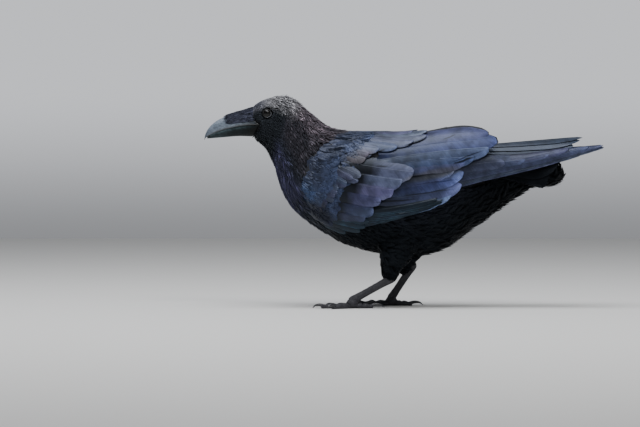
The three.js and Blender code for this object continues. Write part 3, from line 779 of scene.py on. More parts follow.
def bodyFeathers():
    points, normals = scatter(spaced([8, 10, 14, 18], [3.2, 4.2, 4.8, 4.6]), onBody, 40000)
    step, up, _ = bodyPlace(points)
    upper = up > 0.05
    for name, part, paint in (("back", upper, bodyPaint), ("belly", ~upper, bellyPaint)):
        at = step[part]
        low = ease(-0.2, -0.75, up[part])
        rough = ease(9.5, 12, at) * low  # ragged about the vent
        coat(f"feathers_{name}", (points[part], normals[part]), bodyFlow(points[part]),
             row(at, [8, 10, 14, 16.5, 18, 20], [18, 23, 28, 26, 15, 8]) * (1 + 0.25 * rough),
             row(at, [8, 10, 14, 18, 20], [7, 9.5, 9, 7, 5]) * (1 - 0.2 * rough),
             row(at, [8, 10, 14, 18], [2.2, 2.8, 3.2, 3.2]) + (1.8 * low + 3.2 * rough) * mm,
             paint, "body_plumage", "pointed", jitter=10 + 10 * rough, tint=0.2, camber=0.05)


def thighFeathers():
    roots = scatter(lambda p: np.full(len(p), 2.6 * mm), onThighs, 12000)
    fall = np.tile([-0.12, 0.0, -1.0], (len(roots[0]), 1))
    low = ease(0.075, 0.04, roots[0][:, 2])
    coat("feathers_thighs", roots, fall, (16 - 4 * low) * mm, (5.5 - 1.5 * low) * mm,
         (2.4 - 0.6 * low) * mm, bellyPaint, "body_plumage", "pointed", columns=3, jitter=10,
         tint=0.2, camber=0.05)


headFeathers()
neckFeathers()
bodyFeathers()
thighFeathers()
print("body plumage ready")

longRows = np.array([0.0, 0.14, 0.28, 0.42, 0.55, 0.67, 0.77, 0.85, 0.91, 0.955, 0.985])


def wingVanes(roots, tips, count, width, height, tone, side, tilt=0.9, taper=0.25, blunt=0.3, bow=0.0,
              columns=7, under=1.8, byTurn=False, rootShadeSpan=(0.28, 0.6), dark=0.3, lean=0.2, rimHighlights=(0.5, 0.6),
              tipHighlight=0.25, edgeHighlight=0.0, stray=1.0):
    # roots and tips are [x, z] of the side view, or [x, turn], from the upper to the lower feather
    # the look paints shade at the root, where the next row overlaps, and on the upper edge, and paints
    # highlights on the rim, the lower edge and the tip
    root, tip = spreadOf(roots, count), spreadOf(tips, count)
    tip = tip + dice.normal(0, stray, (count, 2)) * [1.4, 0.5]
    width = spreadOf(np.reshape(width, (-1, 1)), count)
    t = longRows[None]
    x = root[:, :1] + (tip - root)[:, :1] * t
    z = root[:, 1:] + (tip - root)[:, 1:] * t + bow * 4 * t * (1 - t)
    turn = z if byTurn else wingTurn(x, z)
    perTurn = np.linalg.norm(wingPoint(x, turn + 0.5) - wingPoint(x, turn - 0.5), axis=-1)
    run, fall = np.gradient(x, axis=1), np.gradient(turn, axis=1) * perTurn
    size = np.maximum(np.hypot(run, fall), 1e-3)
    run, fall = run / size, fall / size
    closing = np.clip((t - (1 - blunt)) / blunt, 0, 1)
    outline = np.minimum(1, 0.55 + 2.2 * t) * (1 - taper * t) * np.sqrt(np.maximum(1 - closing**2.4, 0.015))
    spread = np.sin(np.linspace(-math.pi / 2, math.pi / 2, columns))[None, None]
    ragged = 1 + dice.normal(0, 0.012, (count, len(longRows), columns))
    split = dice.random((count, len(longRows), 2)) < 0.07  # barbs that have parted at the edge
    ragged[:, :, [0, -1]] -= 0.13 * split
    reach = spread * (width / 2 * outline)[..., None] * ragged
    xs = x[..., None] - fall[..., None] * reach
    turns = turn[..., None] + run[..., None] * reach / perTurn[..., None]
    level = (height - under * (1 - t))[..., None] + tilt * spread - 0.06 * width[..., None] * spread**2
    points = wingPoint(xs, turns, level)
    outwards = unit(wingPoint(xs, turns, level + 1) - points)
    middle = points[:, :, columns // 2]
    end = middle[:, -1] + (points[:, -1] - points[:, -2])[:, columns // 2] * 0.35
    lengths = np.linalg.norm(np.diff(middle, axis=1), axis=-1)
    lengthAxis = np.concatenate([np.zeros((count, 1)), lengths.cumsum(1)], 1)[..., None] + 0 * reach
    tone = spreadOf(tone, count) if np.ndim(tone) == 2 else np.tile(tone, (count, 1))
    colours = tone * dice.uniform(0.85, 1.15, (count, 1))
    colours = colours * (1 + dice.normal(0, 0.05, (count, 3)))

    def look(across, along):  # painted shade where the next row overlaps, painted highlight along the lower edge and tip
        shade = (dark + (1 - dark) * ease(*rootShadeSpan, along)) * (1 + lean * across)
        shade = shade * (1 + tipHighlight * ease(0.72, 1.0, along)) * (1 + edgeHighlight * ease(0.72, 1.0, across))
        rim = np.maximum(rimHighlights[0] * ease(0.8, 1.0, across), rimHighlights[1] * ease(0.93, 1.0, along))
        return shade, 0.78 + 0.22 * rim

    flip = np.array([1, -side, 1.0])
    return vanesFrom(points * mm * flip, outwards * flip, thinned(0.3, spread, reach) * mm, end * mm * flip,
                     middle[:, 0] * mm * flip, reach * mm, lengthAxis * mm,
                     wingUnwrap(root[:, 0], turn[:, 0], side), colours, look)


# each tract's tone is its colour; the settings after it paint shade where the next row overlaps and
# highlights on the lower edge, rim and tip
wingTracts = {
    "primaries": dict(
        roots=[(44, 196), (42, 186), (40, 176), (38, 168), (34, 162)],
        tips=[(139, 206), (169, 208.5), (202, 216), (231, 224), (258, 226), (279, 228.5),
              (279.5, 224), (268, 219), (246, 211.5), (216, 204)],
        count=10, width=[38, 34, 28, 19, 14, 11, 9], height=-4.0, tilt=1.8, taper=0.3, blunt=0.2,
        under=1.0, tone=(0.027, 0.032, 0.060), rootShadeSpan=(0.1, 0.7), dark=0.45, lean=0.5, rimHighlights=(0.8, 1.0),
        tipHighlight=0.7, edgeHighlight=0.5, stray=0.5),
    "secondaries": dict(
        roots=[(-18, 176), (-30, 164), (-42, 150), (-50, 134), (-54, 124)],
        tips=[(70, 200), (79, 190), (80, 176), (74, 165), (62, 157), (50, 150)],
        count=5, width=[28, 27, 24, 18], height=-2.4, tilt=1.6, taper=0.05, blunt=0.16, bow=-2.0,
        under=1.5, tone=(0.036, 0.046, 0.095), rootShadeSpan=(0.25, 0.7), dark=0.35, lean=0.55, rimHighlights=(0.35, 0.9),
        tipHighlight=2.3, stray=1.3),
    "tertials": dict(
        roots=[(-36, 232), (-38, 214), (-42, 200), (-46, 188)],
        tips=[(117, 247), (130, 238), (117, 224), (98, 211), (84, 203)],
        count=5, width=[46, 42, 34, 26], height=-0.6, tilt=1.6, taper=0.08, blunt=0.26, bow=3.0,
        columns=9, tone=(0.043, 0.057, 0.117), rootShadeSpan=(0.3, 0.62), dark=0.42, lean=0.16, rimHighlights=(0.12, 1.0),
        stray=0.8),
    "greater_coverts": dict(
        roots=[(-90, 206), (-100, 192), (-112, 176), (-120, 156), (-122, 138)],
        tips=[(12, 190), (2, 180), (-10, 170), (-27, 156), (-37, 147), (-42, 134), (-52, 127)],
        count=6, width=[38, 34, 28, 20], height=0.3, tilt=1.3, taper=0.0, bow=-1.5,
        tone=[(0.058, 0.064, 0.118), (0.054, 0.058, 0.114), (0.043, 0.045, 0.090), (0.025, 0.026, 0.054)],
        rootShadeSpan=(0.42, 0.62), dark=0.02, lean=0.3, rimHighlights=(0.12, 1.0), tipHighlight=0.5, stray=2.4),
    "median_coverts": dict(
        roots=[(-92, 200), (-102, 191), (-112, 181), (-120, 168), (-124, 154), (-122, 142)],
        tips=[(-58, 184), (-68, 177), (-80, 171), (-91, 165), (-97, 156), (-102, 146), (-114, 139)],
        count=12, width=[17, 15, 13, 11], height=2.0, taper=0.05, blunt=0.5, under=3.6,
        tone=[(0.040, 0.044, 0.076), (0.030, 0.034, 0.064), (0.016, 0.017, 0.034)],
        rootShadeSpan=(0.1, 0.6), dark=0.6, lean=0.1, rimHighlights=(0.05, 0.7), tipHighlight=0.4, stray=3.2),
    "alula": dict(
        roots=[(-112, 134), (-116, 126), (-118, 121)],
        tips=[(-50, 121), (-53, 114), (-62, 107.5), (-80, 105)],
        count=4, width=[16, 15, 13], height=0.3, tilt=1.3, taper=0.1, blunt=0.34,
        tone=(0.006, 0.013, 0.020), rootShadeSpan=(0.0, 0.5), lean=0.5, rimHighlights=(0.8, 0.9), edgeHighlight=2.5),
    "primary_coverts": dict(
        roots=[(-64, 134), (-70, 126), (-74, 118)],
        tips=[(46, 153.5), (55, 150), (44, 143.5), (22, 135.5), (-8, 127), (-34, 122)],
        count=8, width=[13, 11, 10], height=-1.6, tilt=1.7, taper=0.3, blunt=0.34, bow=-2.5,
        under=1.4, tone=(0.0055, 0.0115, 0.0175), rootShadeSpan=(0.1, 0.6), lean=0.8, rimHighlights=(1.0, 0.8), edgeHighlight=4.0,
        stray=0.5),
    "scapulars_rear": dict(
        roots=[(-62, 5), (-66, 21), (-72, 38), (-84, 54)], byTurn=True,
        tips=[(22, 16), (33, 24), (28, 33), (4, 39), (-26, 47), (-44, 51), (-58, 62)],
        count=8, width=[28, 30, 26, 22], height=0.8, taper=0.05, blunt=0.5, under=3.0, columns=9,
        tone=(0.058, 0.067, 0.116), rootShadeSpan=(0.2, 0.6), dark=0.7, lean=0.1, rimHighlights=(0.06, 0.9), stray=2.6),
}
for tract, settings in wingTracts.items():
    node = tract if tract in ("primaries", "secondaries") else "coverts"
    for side, word in bothSides:
        addVanes(f"wing_{word}_{tract}_vanes", wingVanes(side=side, **settings), wingPaint,
                 "wing_plumage", f"wing_{word}_{node}")

wingCores = {  # dark bodies that close the wing under its feathers: front, rear, inset, depth
    "coverts": ([(-96, 38), (-124, 68), (-140, 100), (-142, 118), (-128, 132)],
                [(60, 10), (60, 40), (40, 76), (10, 98), (-50, 118)], 4.5, 9),
    "secondaries": ([(0, 14), (0, 40), (0, 60), (-20, 84), (-40, 102)],
                    [(108, 8), (118, 28), (98, 56), (62, 72), (30, 94)], 5.0, 7),
}
for name, (front, rear, inset, deep) in wingCores.items():
    u = np.linspace(0, 1, 24)[:, None]
    a, b = spreadOf(front, 22), spreadOf(rear, 22)
    x, turn = (a[:, k] * (1 - u) + b[:, k] * u for k in range(2))
    outer, inner = wingPoint(x, turn, -inset), wingPoint(x, turn, -deep)
    points = closed(np.concatenate([outer, inner[:, ::-1]], 1) * mm)
    for side, word in bothSides:
        asPiece(f"wing_{word}_{name}_core", points * [1, -side, 1], ringFaces(24, 44), corePaint,
                "wing_plumage")

shoulder = {  # the front edge of the folded wing and mantle, from the breast up
    "z": [118, 128, 142, 168, 200, 226, 249],
    "x": [-122, -134, -142, -148, -134, -114, -90],
}
shoulderTracts = {  # the degrees each covers, and how far back it reaches at some of them
    "lesser": dict(turns=(46, 134), at=[46, 70, 84, 100, 134], x=[-66, -82, -94, -104, -116], lift=1.3,
                   feathers={"lesser_coverts": (4.2, 19, 11), "lesser_fringe": (2.9, 13, 4.4)}),
    "mantle": dict(turns=(3, 62), at=[5, 20, 40, 62], x=[-30, -34, -58, -90], lift=0.8,
                   feathers={"mantle": (4.8, 30, 18), "mantle_fringe": (3.2, 19, 5.6)}),
}


def fromShoulder(x, z):  # millimetres behind the shoulder's edge, which wanders a little
    wander = 3.0 * np.sin(z / 7.0) + 2.0 * np.sin(z / 3.1 + 1.7)
    return x - np.interp(z, shoulder["z"], shoulder["x"]) - wander


def shoulderGround():  # a sheet over both wings' own form
    rows, columns = 120, 80
    x = np.linspace(-160, 44, rows)[:, None]
    turn = np.linspace(2, 142, columns)[None]
    level = wingPoint(x, turn + 0 * x)
    lumps = (np.sin(x / 6.1 + 2.0 * np.sin(turn / 17)) * np.sin(turn / 6.7 + 1.3 * np.sin(x / 9.5)))
    sunk = 4.0 * ease(20, 0, fromShoulder(x + 0 * turn, level[..., 2]))
    raised = 1.9 * ease(44, 62, turn) * ease(-88, -108, x)  # lesser coverts lie uppermost
    swell = 0.2 + 0.9 * ease(40, 70, turn)
    points = (wingPoint(x, turn + 0 * x, -2.4 + raised + swell * lumps - sunk) * mm).reshape(-1, 3)
    index = np.arange(rows - 1)[:, None] * columns + np.arange(columns - 1)[None]
    beside, beyond = index + 1, index + columns
    faces = np.stack([index, beside, beyond + 1, index, beyond + 1, beyond], -1).reshape(-1, 3)
    a, b, c = (points[faces[:, k]] for k in range(3))
    if (np.cross(b - a, c - a) * [0, -1, 0.3]).sum() < 0:
        faces = faces[:, ::-1]
    return Ground(np.concatenate([points, points * [1, -1, 1]]),
                  np.concatenate([faces, faces[:, ::-1] + len(points)]))


def mantleTone(x, z):  # blue-grey over the back, darker and bluer down the shoulder, paler higher up in part as painted light from above
    # paler higher up, in part as painted light from above
    high = ease(165, 225, z)[:, None]
    tone = np.array((0.029, 0.040, 0.086)) * (1 - high) + np.array((0.036, 0.050, 0.104)) * high
    # painted shade along the shoulder's front edge
    near = ease(26, 0, fromShoulder(x, z))[:, None]
    wrist = np.exp(-((x + 143) ** 2 + (z - 160) ** 2) / 200)[:, None]
    tone = tone * (1 - 0.6 * near) + np.array((0.014, 0.014, 0.019)) * 0.6 * near
    return tone + np.array((0.016, 0.026, 0.052)) * wrist


def shoulderFeathers():  # lesser coverts, mantle and front scapulars
    ground = shoulderGround()
    for tract in shoulderTracts.values():
        def keep(p):
            x, z = p[:, 0] / mm, p[:, 2] / mm
            turn, (low, high) = wingTurn(x, z), tract["turns"]
            inside = (turn > low) & (turn < high) & (x < np.interp(turn, tract["at"], tract["x"]))
            return inside & (fromShoulder(x, z) > 0)

        for name, (spacing, length, width) in tract["feathers"].items():
            roots = scatter(lambda p: np.full(len(p), spacing * mm), keep, 14000, ground)
            points, count = roots[0], len(roots[0])
            x, z = points[:, 0] / mm, points[:, 2] / mm
            turn = wingTurn(x, z)
            fall = np.interp(turn, [10, 50, 90, 130], [-0.02, -0.30, -0.42, -0.25])
            flow = np.stack([np.ones(count), 0 * fall, fall * ease(-50, -130, x)], 1)
            fringe = name.endswith("fringe")
            coat(f"wing_{name}", roots, flow, length * mm, width * mm, tract["lift"] * mm, mantlePaint,
                 "wing_plumage", "pointed" if fringe else "round", columns=3 if fringe else 5, jitter=9,
                 tone=mantleTone(x, z) * dice.uniform(0.86, 1.16, (count, 1)),
                 unwrap=wingUnwrap(x, turn, np.sign(points[:, 1])), camber=0.03, ground=ground,
                 depth=0.2 * mm)


shoulderFeathers()
print("wings ready")

tail = {
    "tips": [(251, 3.5, 239.5), (248, 10, 235.5), (239, 18, 228.5), (229, 24, 218), (218, 29, 204),
             (206, 33, 186), (199, 34, 165)],
    "root": (104, 15, 227, 188),
    "half": 0.19,  # half the width of a feather, as a share of one side of the roof
    "layer": 0.9,
    "rows": np.array([0.02, 0.2, 0.4, 0.55, 0.67, 0.76, 0.84, 0.9, 0.95, 0.985]),
    "places": (0.9, 0.74, 0.58, 0.42, 0.26, 0.11),
    # roof is the upper feathers' colour; edge, the lower feathers' near black, is in part painted shade under
    # the wing
    "roof": (0.017, 0.025, 0.042), "edge": (0.0022, 0.0026, 0.0034),
}


def roofPoint(u, s, height):  # s runs from the ridge (0) to the outermost feather (1) or its mirror (-1)
    x, half, top, bottom = tail["root"]
    share, side = np.abs(s), np.sign(s)
    tip = np.stack([curve(column, share * 6) for column in np.transpose(tail["tips"])], -1)
    tip[..., 1] *= ease(-0.01, 0.14, share)
    root = np.stack([x + 0 * share, half * np.sin(share * math.pi / 2),
                     top + (bottom - top) * share**1.4], -1)
    place = root + (tip - root) * u[..., None]
    slope = np.radians(65) * share
    up = np.stack([0 * share, np.sin(slope), np.cos(slope)], -1)
    return (place + up * height[..., None]) * np.stack([1 + 0 * side, side, 1 + 0 * side], -1)


def tailLook(across, along):
    # painted shade, darker towards the root and one edge, with a painted highlight along the other edge and
    # the tip
    rim = np.maximum(0.4 * ease(0.8, 1.0, across), 0.5 * ease(0.95, 1.0, along))
    return (1 + 0.2 * across) * (0.75 + 0.35 * along), 0.78 + 0.22 * rim


def tailFeathers():
    t = tail["rows"]
    spread = np.sin(np.linspace(-math.pi / 2, math.pi / 2, 9))[None]
    closing = np.clip((t - 0.7) / 0.3, 0, 1)
    outline = (0.7 + 0.3 * ease(0, 0.4, t)) * np.sqrt(np.maximum(1 - closing**2.0, 0.02))
    roof, edge = [], []
    for s, side in product(tail["places"], (-1, 1)):
        share = np.clip(s + tail["half"] * outline[:, None] * spread, 0.004, 1.0) * side
        u = (t * (1 + dice.normal(0, 0.012)))[:, None] + 0 * share
        height = tail["layer"] * spread + 0.6 * (1 - s) - 0.3 * t[:, None] + 0.15 * side
        top = roofPoint(u, share, height)
        normals = unit(roofPoint(u, share, height + 1) - top)
        middle = top[:, 4]
        lengths = np.concatenate([[0], np.linalg.norm(np.diff(middle, axis=0), axis=1).cumsum()])
        widths = (np.linalg.norm(top - middle[:, None], axis=-1) * np.sign(spread))
        upper = s < 0.5
        (roof if upper else edge).append(vanesFrom(
            top[None] * mm, normals[None], thinned(0.3 * mm, spread, widths)[None],
            (middle[-1] + (middle[-1] - middle[-2]) * 0.2)[None] * mm, middle[:1] * mm, widths[None] * mm,
            (lengths[:, None] + 0 * widths)[None] * mm,
            np.array([[0.94 + 0.02 * s, 0.5 + side * (0.03 + 0.12 * s)]]),
            np.array([tail["roof" if upper else "edge"]]), tailLook))
    addVanes("tail_feathers", stack(roof), wingPaint, "wing_plumage", "tail")
    addVanes("tail_edge_feathers", stack(edge), bellyPaint, "body_plumage")


tailFeathers()
print("tail ready")

bill = {  # x, top, bottom and half width from the rear
    "upper": [(-202, 257.6, 254.9, 16.0), (-207, 263.5, 254.8, 16.2), (-212.5, 270.5, 254.7, 14.4),
              (-218, 273.5, 254.4, 12.2), (-228, 272.8, 253.3, 10.5), (-238, 271, 251.5, 9.8),
              (-252, 265.8, 248, 8.2), (-262, 260.7, 244.6, 6.6), (-269.5, 254.8, 241.4, 5),
              (-275, 248.2, 238.6, 3.3), (-278.3, 241.3, 235.8, 1.9), (-279.5, 235.2, 233.4, 0.8)],
    "lower": [(-202, 256.0, 249.5, 15.6), (-207, 255.5, 241.8, 15.8), (-212.5, 255.4, 238.9, 14.0),
              (-218, 255.1, 238.9, 11.9), (-228, 254.0, 239.2, 9.8), (-238, 252.2, 238.8, 8.5),
              (-252, 248.7, 237.6, 6.8), (-262, 245.2, 236.8, 5.1), (-269.5, 241.9, 236.2, 3.4),
              (-275.4, 238.6, 235.8, 1.3)],
}


def mandible(half, paint, ridge, rings=70, arc=29):
    x, top, bottom, wide = (c[:, None] for c in spreadOf(bill[half], rings).T)
    isUpper = half == "upper"
    turn = np.radians(np.linspace(-90, 90, arc))[None]
    base, crown = (bottom, top) if isUpper else (top, bottom)
    y = wide * powered(np.sin(turn), 0.85)
    z = base + (crown - base) * np.cos(turn) ** ridge
    edge = np.linspace(1, -1, 9)[None, 1:-1]
    under = np.stack([x + 0 * edge, wide * edge, base + 0 * edge], -1)
    ring = np.concatenate([np.stack([x + 0 * turn, y, z], -1), under], 1) * mm
    rise = np.cos(turn) + 0 * x  # 1 on the ridge, 0 at the cutting edge
    line = ease(0.0, 0.11, rise)  # a painted shadow line where the two meet
    if isUpper:  # a pale band along the cutting edge behind, a lit ridge in front
        band = ease(0.34, 0.1, rise) * ease(-262, -240, x) * ease(-206, -226, x)
        shade = (1.9 + 0.4 * ease(0.3, 0.9, rise) + 0.5 * band) * line
        tint = np.array((1.0, 1.02, 1.0))
    else:
        front = ease(-238, -256, x)  # the fore end is the palest
        # painted shade, darker down the lower mandible's side towards its underside
        shade = (0.14 + 0.25 * front + (0.7 + 0.5 * front) * ease(0.42, 0.06, rise)) * line
        tint = np.array((0.80, 1.0, 0.90))
    # painted shade, near black towards the root under the bristles and feathers
    shade = shade * (1 - 0.9 * ease(-230 if isUpper else -240, -205, x))
    shade = shade * (0.6 + 0.4 * ease(-279, -268, x))
    shade = np.concatenate([shade, 0.2 + 0 * x * edge], 1)
    tone = np.concatenate([shade.reshape(-1), [0.05, 0.5]])[:, None] * tint
    tone = np.concatenate([tone, np.ones((len(tone), 1))], 1)
    asPiece(f"bill_{half}_horn", closed(ring), ringFaces(rings, ring.shape[1]), paint, "bill_horn",
            f"bill_{half}", tone=tone)


mandible("upper", billPaint, 0.8)
mandible("lower", chinPaint, 0.9)

bristle = {
    "count": 950, "x": [-256, -250, -237, -220, -210, -204],
    "low": [259.5, 258.2, 258.4, 260.5, 262.5, 264], "top": [264.6, 268.6, 272.6, 277.2, 280.4, 284],
    "wide": [7.0, 9.0, 10.4, 12.0, 15.4, 18.0], "tone": (0.027, 0.029, 0.046),
    "rows": ([0.02, 0.35, 0.7, 0.92], [0.8, 1.0, 0.7, 0.3]),
}


def bristleForm(x, turn, side, lift):  # turn is degrees from the top of the bristles' own oval form
    low, top, wide = (np.interp(x, bristle["x"], bristle[key]) for key in ("low", "top", "wide"))
    sine, cosine = np.sin(np.radians(turn)), np.cos(np.radians(turn))
    return np.stack([x, side * (wide + lift) * sine, low + (top - low + lift) * cosine], 1)


def bristles(side, count, columns=3):
    x = -206 - 32 * dice.random(count)
    turn = dice.uniform(-4, 96, count)
    reach = dice.uniform(8, 18, count)
    front = -254.4 + 3.2 * ((turn - 42) / 50) ** 2 + dice.normal(0, 0.8, count)
    tipX = np.maximum(x - reach, front)
    deep = -1.6 * (dice.random(count) < 0.3)
    root = bristleForm(x, turn, side, -1.2 + deep) * mm
    tip = bristleForm(tipX, turn + dice.normal(0, 3, count), side, deep + dice.uniform(-0.4, 0.5, count)) * mm
    up = bristleForm(x, turn, side, 1.0) - bristleForm(x, turn, side, 0.0)
    tone = np.array(bristle["tone"]) * dice.uniform(0.6, 1.9, (count, 1))
    width = (dice.uniform(0.8, 1.5, count) * mm)[:, None, None]
    bow = dice.uniform(0.02, 0.06, count)
    rows, outline = (np.array(part) for part in bristle["rows"])
    span = tip - root
    length = np.linalg.norm(span, axis=1)
    along = span / length[:, None]
    up = settleWay(up, along)
    across = np.cross(up, along)
    t = rows[None, :, None]
    arch = (bow * length)[:, None, None] * 4 * t * (1 - t)
    centre = root[:, None] + span[:, None] * t + up[:, None] * arch
    spread = np.linspace(-1, 1, columns)
    ragged = 1 + dice.normal(0, 0.015, (count, len(rows), columns))
    reach = spread * (width / 2) * outline[None, :, None] * ragged
    drop = -0.1 * width * spread**2 * outline[None, :, None]
    top = centre[:, :, None] + across[:, None, None] * reach[..., None] + up[:, None, None] * drop[..., None]
    lengthAxis = (length[:, None] * rows[None])[..., None] + 0 * reach
    tone = tone * dice.uniform(0.85, 1.15, (count, 1))
    return vanesFrom(top, np.broadcast_to(up[:, None, None], top.shape), thinned(0.2 * mm, spread, reach),
                     tip, root, reach, lengthAxis, np.stack([0.02 + 0 * x, 0.5 + side * 0.002 * turn], 1),
                     tone)


addVanes("bill_bristles", stack([bristles(side, bristle["count"]) for side in (-1, 1)]), headPaint,
         "head_plumage")


def eyeball(side, word, rings=24, around=48):
    out = np.linspace(0.02, 0.62 * math.pi, rings)[:, None]
    turn = circle(around)[None]
    radius = eye["radius"]
    bulge = 1 + 0.03 * np.exp(-((out / 0.5) ** 2))
    x = eye["x"] + radius * np.sin(out) * np.cos(turn)
    z = eye["z"] + radius * np.sin(out) * np.sin(turn)
    y = side * (eye["side"] + radius * bulge * np.cos(out)) + 0 * turn
    openness = radius * np.sin(out) / eye["open"] + 0 * turn
    share = np.stack([openness, turn / fullTurn + 0 * out], -1).reshape(-1, 2)
    asPiece(f"eye_{word}_globe", closed(np.stack([x, y, z], -1)), ringFaces(rings, around), irisPaint, "eye",
            f"eye_{word}", vane=np.concatenate([share, [[0, 0], [1.5, 0]]]))


def lids(side, word, rings=72, around=12):
    turn, ringAt = circle(rings), circle(around)
    wave = 1 + 0.04 * np.sin(turn * 18) * (np.cos(turn * 2) < 0.6)
    wide = eye["open"] + 0.55 * mm
    x, z = wide * np.cos(turn), wide * 0.93 * np.sin(turn)
    y = eye["side"] + np.sqrt((eye["radius"] + 0.25 * mm) ** 2 - np.hypot(x, z)**2)
    thick = ((0.62 + 0.22 * np.sin(turn)) * mm * wave)[:, None]
    radial = np.stack([np.cos(turn), np.zeros(rings), np.sin(turn)], 1)
    outward = np.array([0, 1.0, 0])
    points = (np.stack([eye["x"] + x, y, eye["z"] + z], 1)[:, None]
              + radial[:, None] * (thick * np.cos(ringAt))[..., None]
              + outward * (thick * 0.8 * np.sin(ringAt))[..., None])
    faces = []
    for a, b in product(range(rings), range(around)):
        p, q = a * around + b, a * around + (b + 1) % around
        r, s = (p + around) % (rings * around), (q + around) % (rings * around)
        faces += [(p, q, s), (p, s, r)]
    pale = ease(0.1, 0.9, np.cos(turn + 0.9))[:, None]  # palest behind and below
    tone = np.array((0.006, 0.006, 0.007)) * (1 - pale) + np.array((0.16, 0.17, 0.19)) * pale
    tone = np.repeat(np.concatenate([tone, np.ones((rings, 1))], 1), around, axis=0)
    asPiece(f"eyelid_{word}", points.reshape(-1, 3) * [1, side, 1], faces, lidPaint, "leg_scales", tone=tone)


for side, word in bothSides:
    eyeball(side, word)
    lids(side, word)
print("head details ready")

legs = {
    "left": dict(side=-1, heel=(-17, 36, 42), foot=(-73, 43, 11), turn=6),
    "right": dict(side=1, heel=(13, 33, 57), foot=(-17, 41, 11), turn=8),
}
foot = {  # toes: degrees from ahead, length, radius and claw
    "shank": [2.0, 6, 5.3, 5.1, 5.2, 5.8, 3.4],
    "pad": {"x": (8.6, 5, 0, -5, -8.6), "z": 6.5, "deep": [1.2, 6.2, 7.4, 6.2, 1.2],
            "wide": [1.2, 6.4, 7.8, 6.4, 1.2]},
    "toes": {"middle": (0, 42, 4.6, 13), "inner": (-33, 31, 4.2, 12), "outer": (34, 34, 4.1, 11),
             "hind": (178, 28, 4.4, 17)},
}


def limbPiece(name, node, centres, deep, wide, steps, around=28, scutes=0, ridge=0.045, paint=scalePaint,
              slot="leg_scales"):
    u = np.linspace(0, len(centres) - 1, steps)
    plates = 1
    if scutes:  # overlapping plates down its front, and small ones round the rest
        saw = (u / (len(centres) - 1) * scutes % 1)[:, None]
        front = ease(-0.2, 0.5, -np.cos(circle(around)))[None]
        plates = 1 + ridge * (saw**1.5 - 0.4) * (0.35 + 0.65 * front)
    points, faces = sweep(np.stack(curves(centres, u), 1), curve(deep, u), curve(wide, u), around, plates)
    points[:, 2] = np.maximum(points[:, 2], 0)
    asPiece(name, points * mm, faces, paint, slot, node)


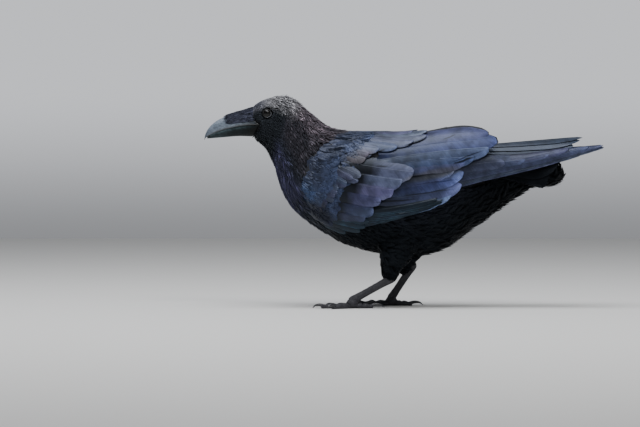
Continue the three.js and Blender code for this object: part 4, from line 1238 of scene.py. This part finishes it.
def legPieces(word, side, heel, foot_, turn):
    heel, joint = (np.array(place) * [1, side, 1] for place in (heel, foot_))
    centres = [heel + (joint - heel) * k for k in (-0.1, 0, 0.25, 0.5, 0.75, 1, 1.06)]
    radii = np.array(foot["shank"])
    limbPiece(f"shank_{word}_scales", f"shank_{word}", centres, radii, radii * 0.85, 120, scutes=11)
    pad = foot["pad"]
    limbPiece(f"pad_{word}", None, [(joint[0] + x, joint[1], pad["z"]) for x in pad["x"]], pad["deep"],
              pad["wide"], 40)
    base = np.array([joint[0], joint[1], 0])
    for toe, (heading, length, radius, claw) in foot["toes"].items():
        angle = math.radians(180 - side * (heading + turn))
        ahead = np.array([math.cos(angle), math.sin(angle), 0])
        reaches = np.linspace(1, length, 9)
        pads = 1 + 0.10 * np.cos(np.linspace(0, 3 * fullTurn, 9))
        radii = np.interp(reaches / length, [0, 0.36, 0.68, 1], [1, 0.94, 0.88, 0.74]) * radius * pads
        centres = [base + ahead * r + [0, 0, q * 0.96 - 0.9] for r, q in zip(reaches, radii)]
        centres.append(base + ahead * (length + 1.5) + [0, 0, radii[-1] * 0.9 - 0.7])
        radii = np.append(radii, radii[-1] * 0.55)
        limbPiece(f"toe_{word}_{toe}_scales", f"toe_{word}_{toe}", centres, radii, radii, 110, 22,
                  round(length / 2.6), 0.06)
        reaches = length - 2.5 + (claw + 2.5) * np.array([0, 0.36, 0.74, 1])
        claws = [base + ahead * r + [0, 0, h] for r, h in zip(reaches, [3.2, 5.2, 4.6, 1.0])]
        limbPiece(f"claw_{word}_{toe}_horn", f"claw_{word}_{toe}", claws, [2.6, 2.2, 1.4, 0.35],
                  [2.1, 1.75, 1.1, 0.3], 40, 20, paint=clawPaint, slot="claw_horn")


for word, leg in legs.items():
    legPieces(word, leg["side"], leg["heel"], leg["foot"], leg["turn"])
print("legs ready")
bpy.context.view_layer.update()

floor = {"size": 6.0, "colour": (0.72, 0.72, 0.70, 1)}
bpy.ops.mesh.primitive_plane_add(size=floor["size"], location=(0, 0, 0))
ground = bpy.context.object
ground.name = "floor"
ground.data.materials.append(Paint("floor", Roughness=0.8, Base_Color=floor["colour"]).made)

view = {"centre": (-0.1176, 0.0, 0.1309), "away": 6.0, "width": 0.896, "rise": 1.5, "sensor": 36.0}
rise = math.radians(view["rise"])
lens = bpy.data.cameras.new("camera")
lens.sensor_width = view["sensor"]
lens.lens = view["sensor"] * view["away"] / view["width"]
target = Vector(view["centre"])
camera = linked("camera", lens)
camera.location = target + Vector((0, -math.cos(rise), math.sin(rise))) * view["away"]
camera.rotation_euler = (math.pi / 2 - rise, 0, 0)
bpy.context.scene.camera = camera

lights = {
    "sky": dict(place=(-0.35, -0.45, 2.4), size=1.9, power=72.0, colour=(0.95, 0.96, 1.0)),
    "front": dict(place=(0.8, -1.9, 2.3), size=0.9, power=18.0, colour=(1.0, 0.98, 0.95)),
}
for name, light in lights.items():
    lamp = bpy.data.lights.new(name, "AREA")
    lamp.shape = "DISK"
    lamp.size = light["size"]
    lamp.energy = light["power"]
    lamp.color = light["colour"]
    holder = linked(name, lamp)
    holder.location = light["place"]
    holder.rotation_euler = (target - holder.location).to_track_quat("-Z", "Y").to_euler()

room = Paint("room", bpy.data.worlds, "Background", Color=(0.93, 0.95, 1.0, 1))
direction = room.parts(room.node("TexCoord", {}, output="Generated"))
falls = [(2, -0.034, 0.004, 0.30, 0.80), (2, 0.05, 0.32, 1.0, 0.32), (1, -0.3, 0.5, 0.62, 1.0)]
strength = 1.0  # a pale band behind the bird, dimmer in front and above
for axis, *span in falls:
    strength = room.range(direction[axis], *span) * strength
room.feed(Strength=strength)
bpy.context.scene.world = room.made

print("whole coat", sum(coatCount.values()), "triangles")
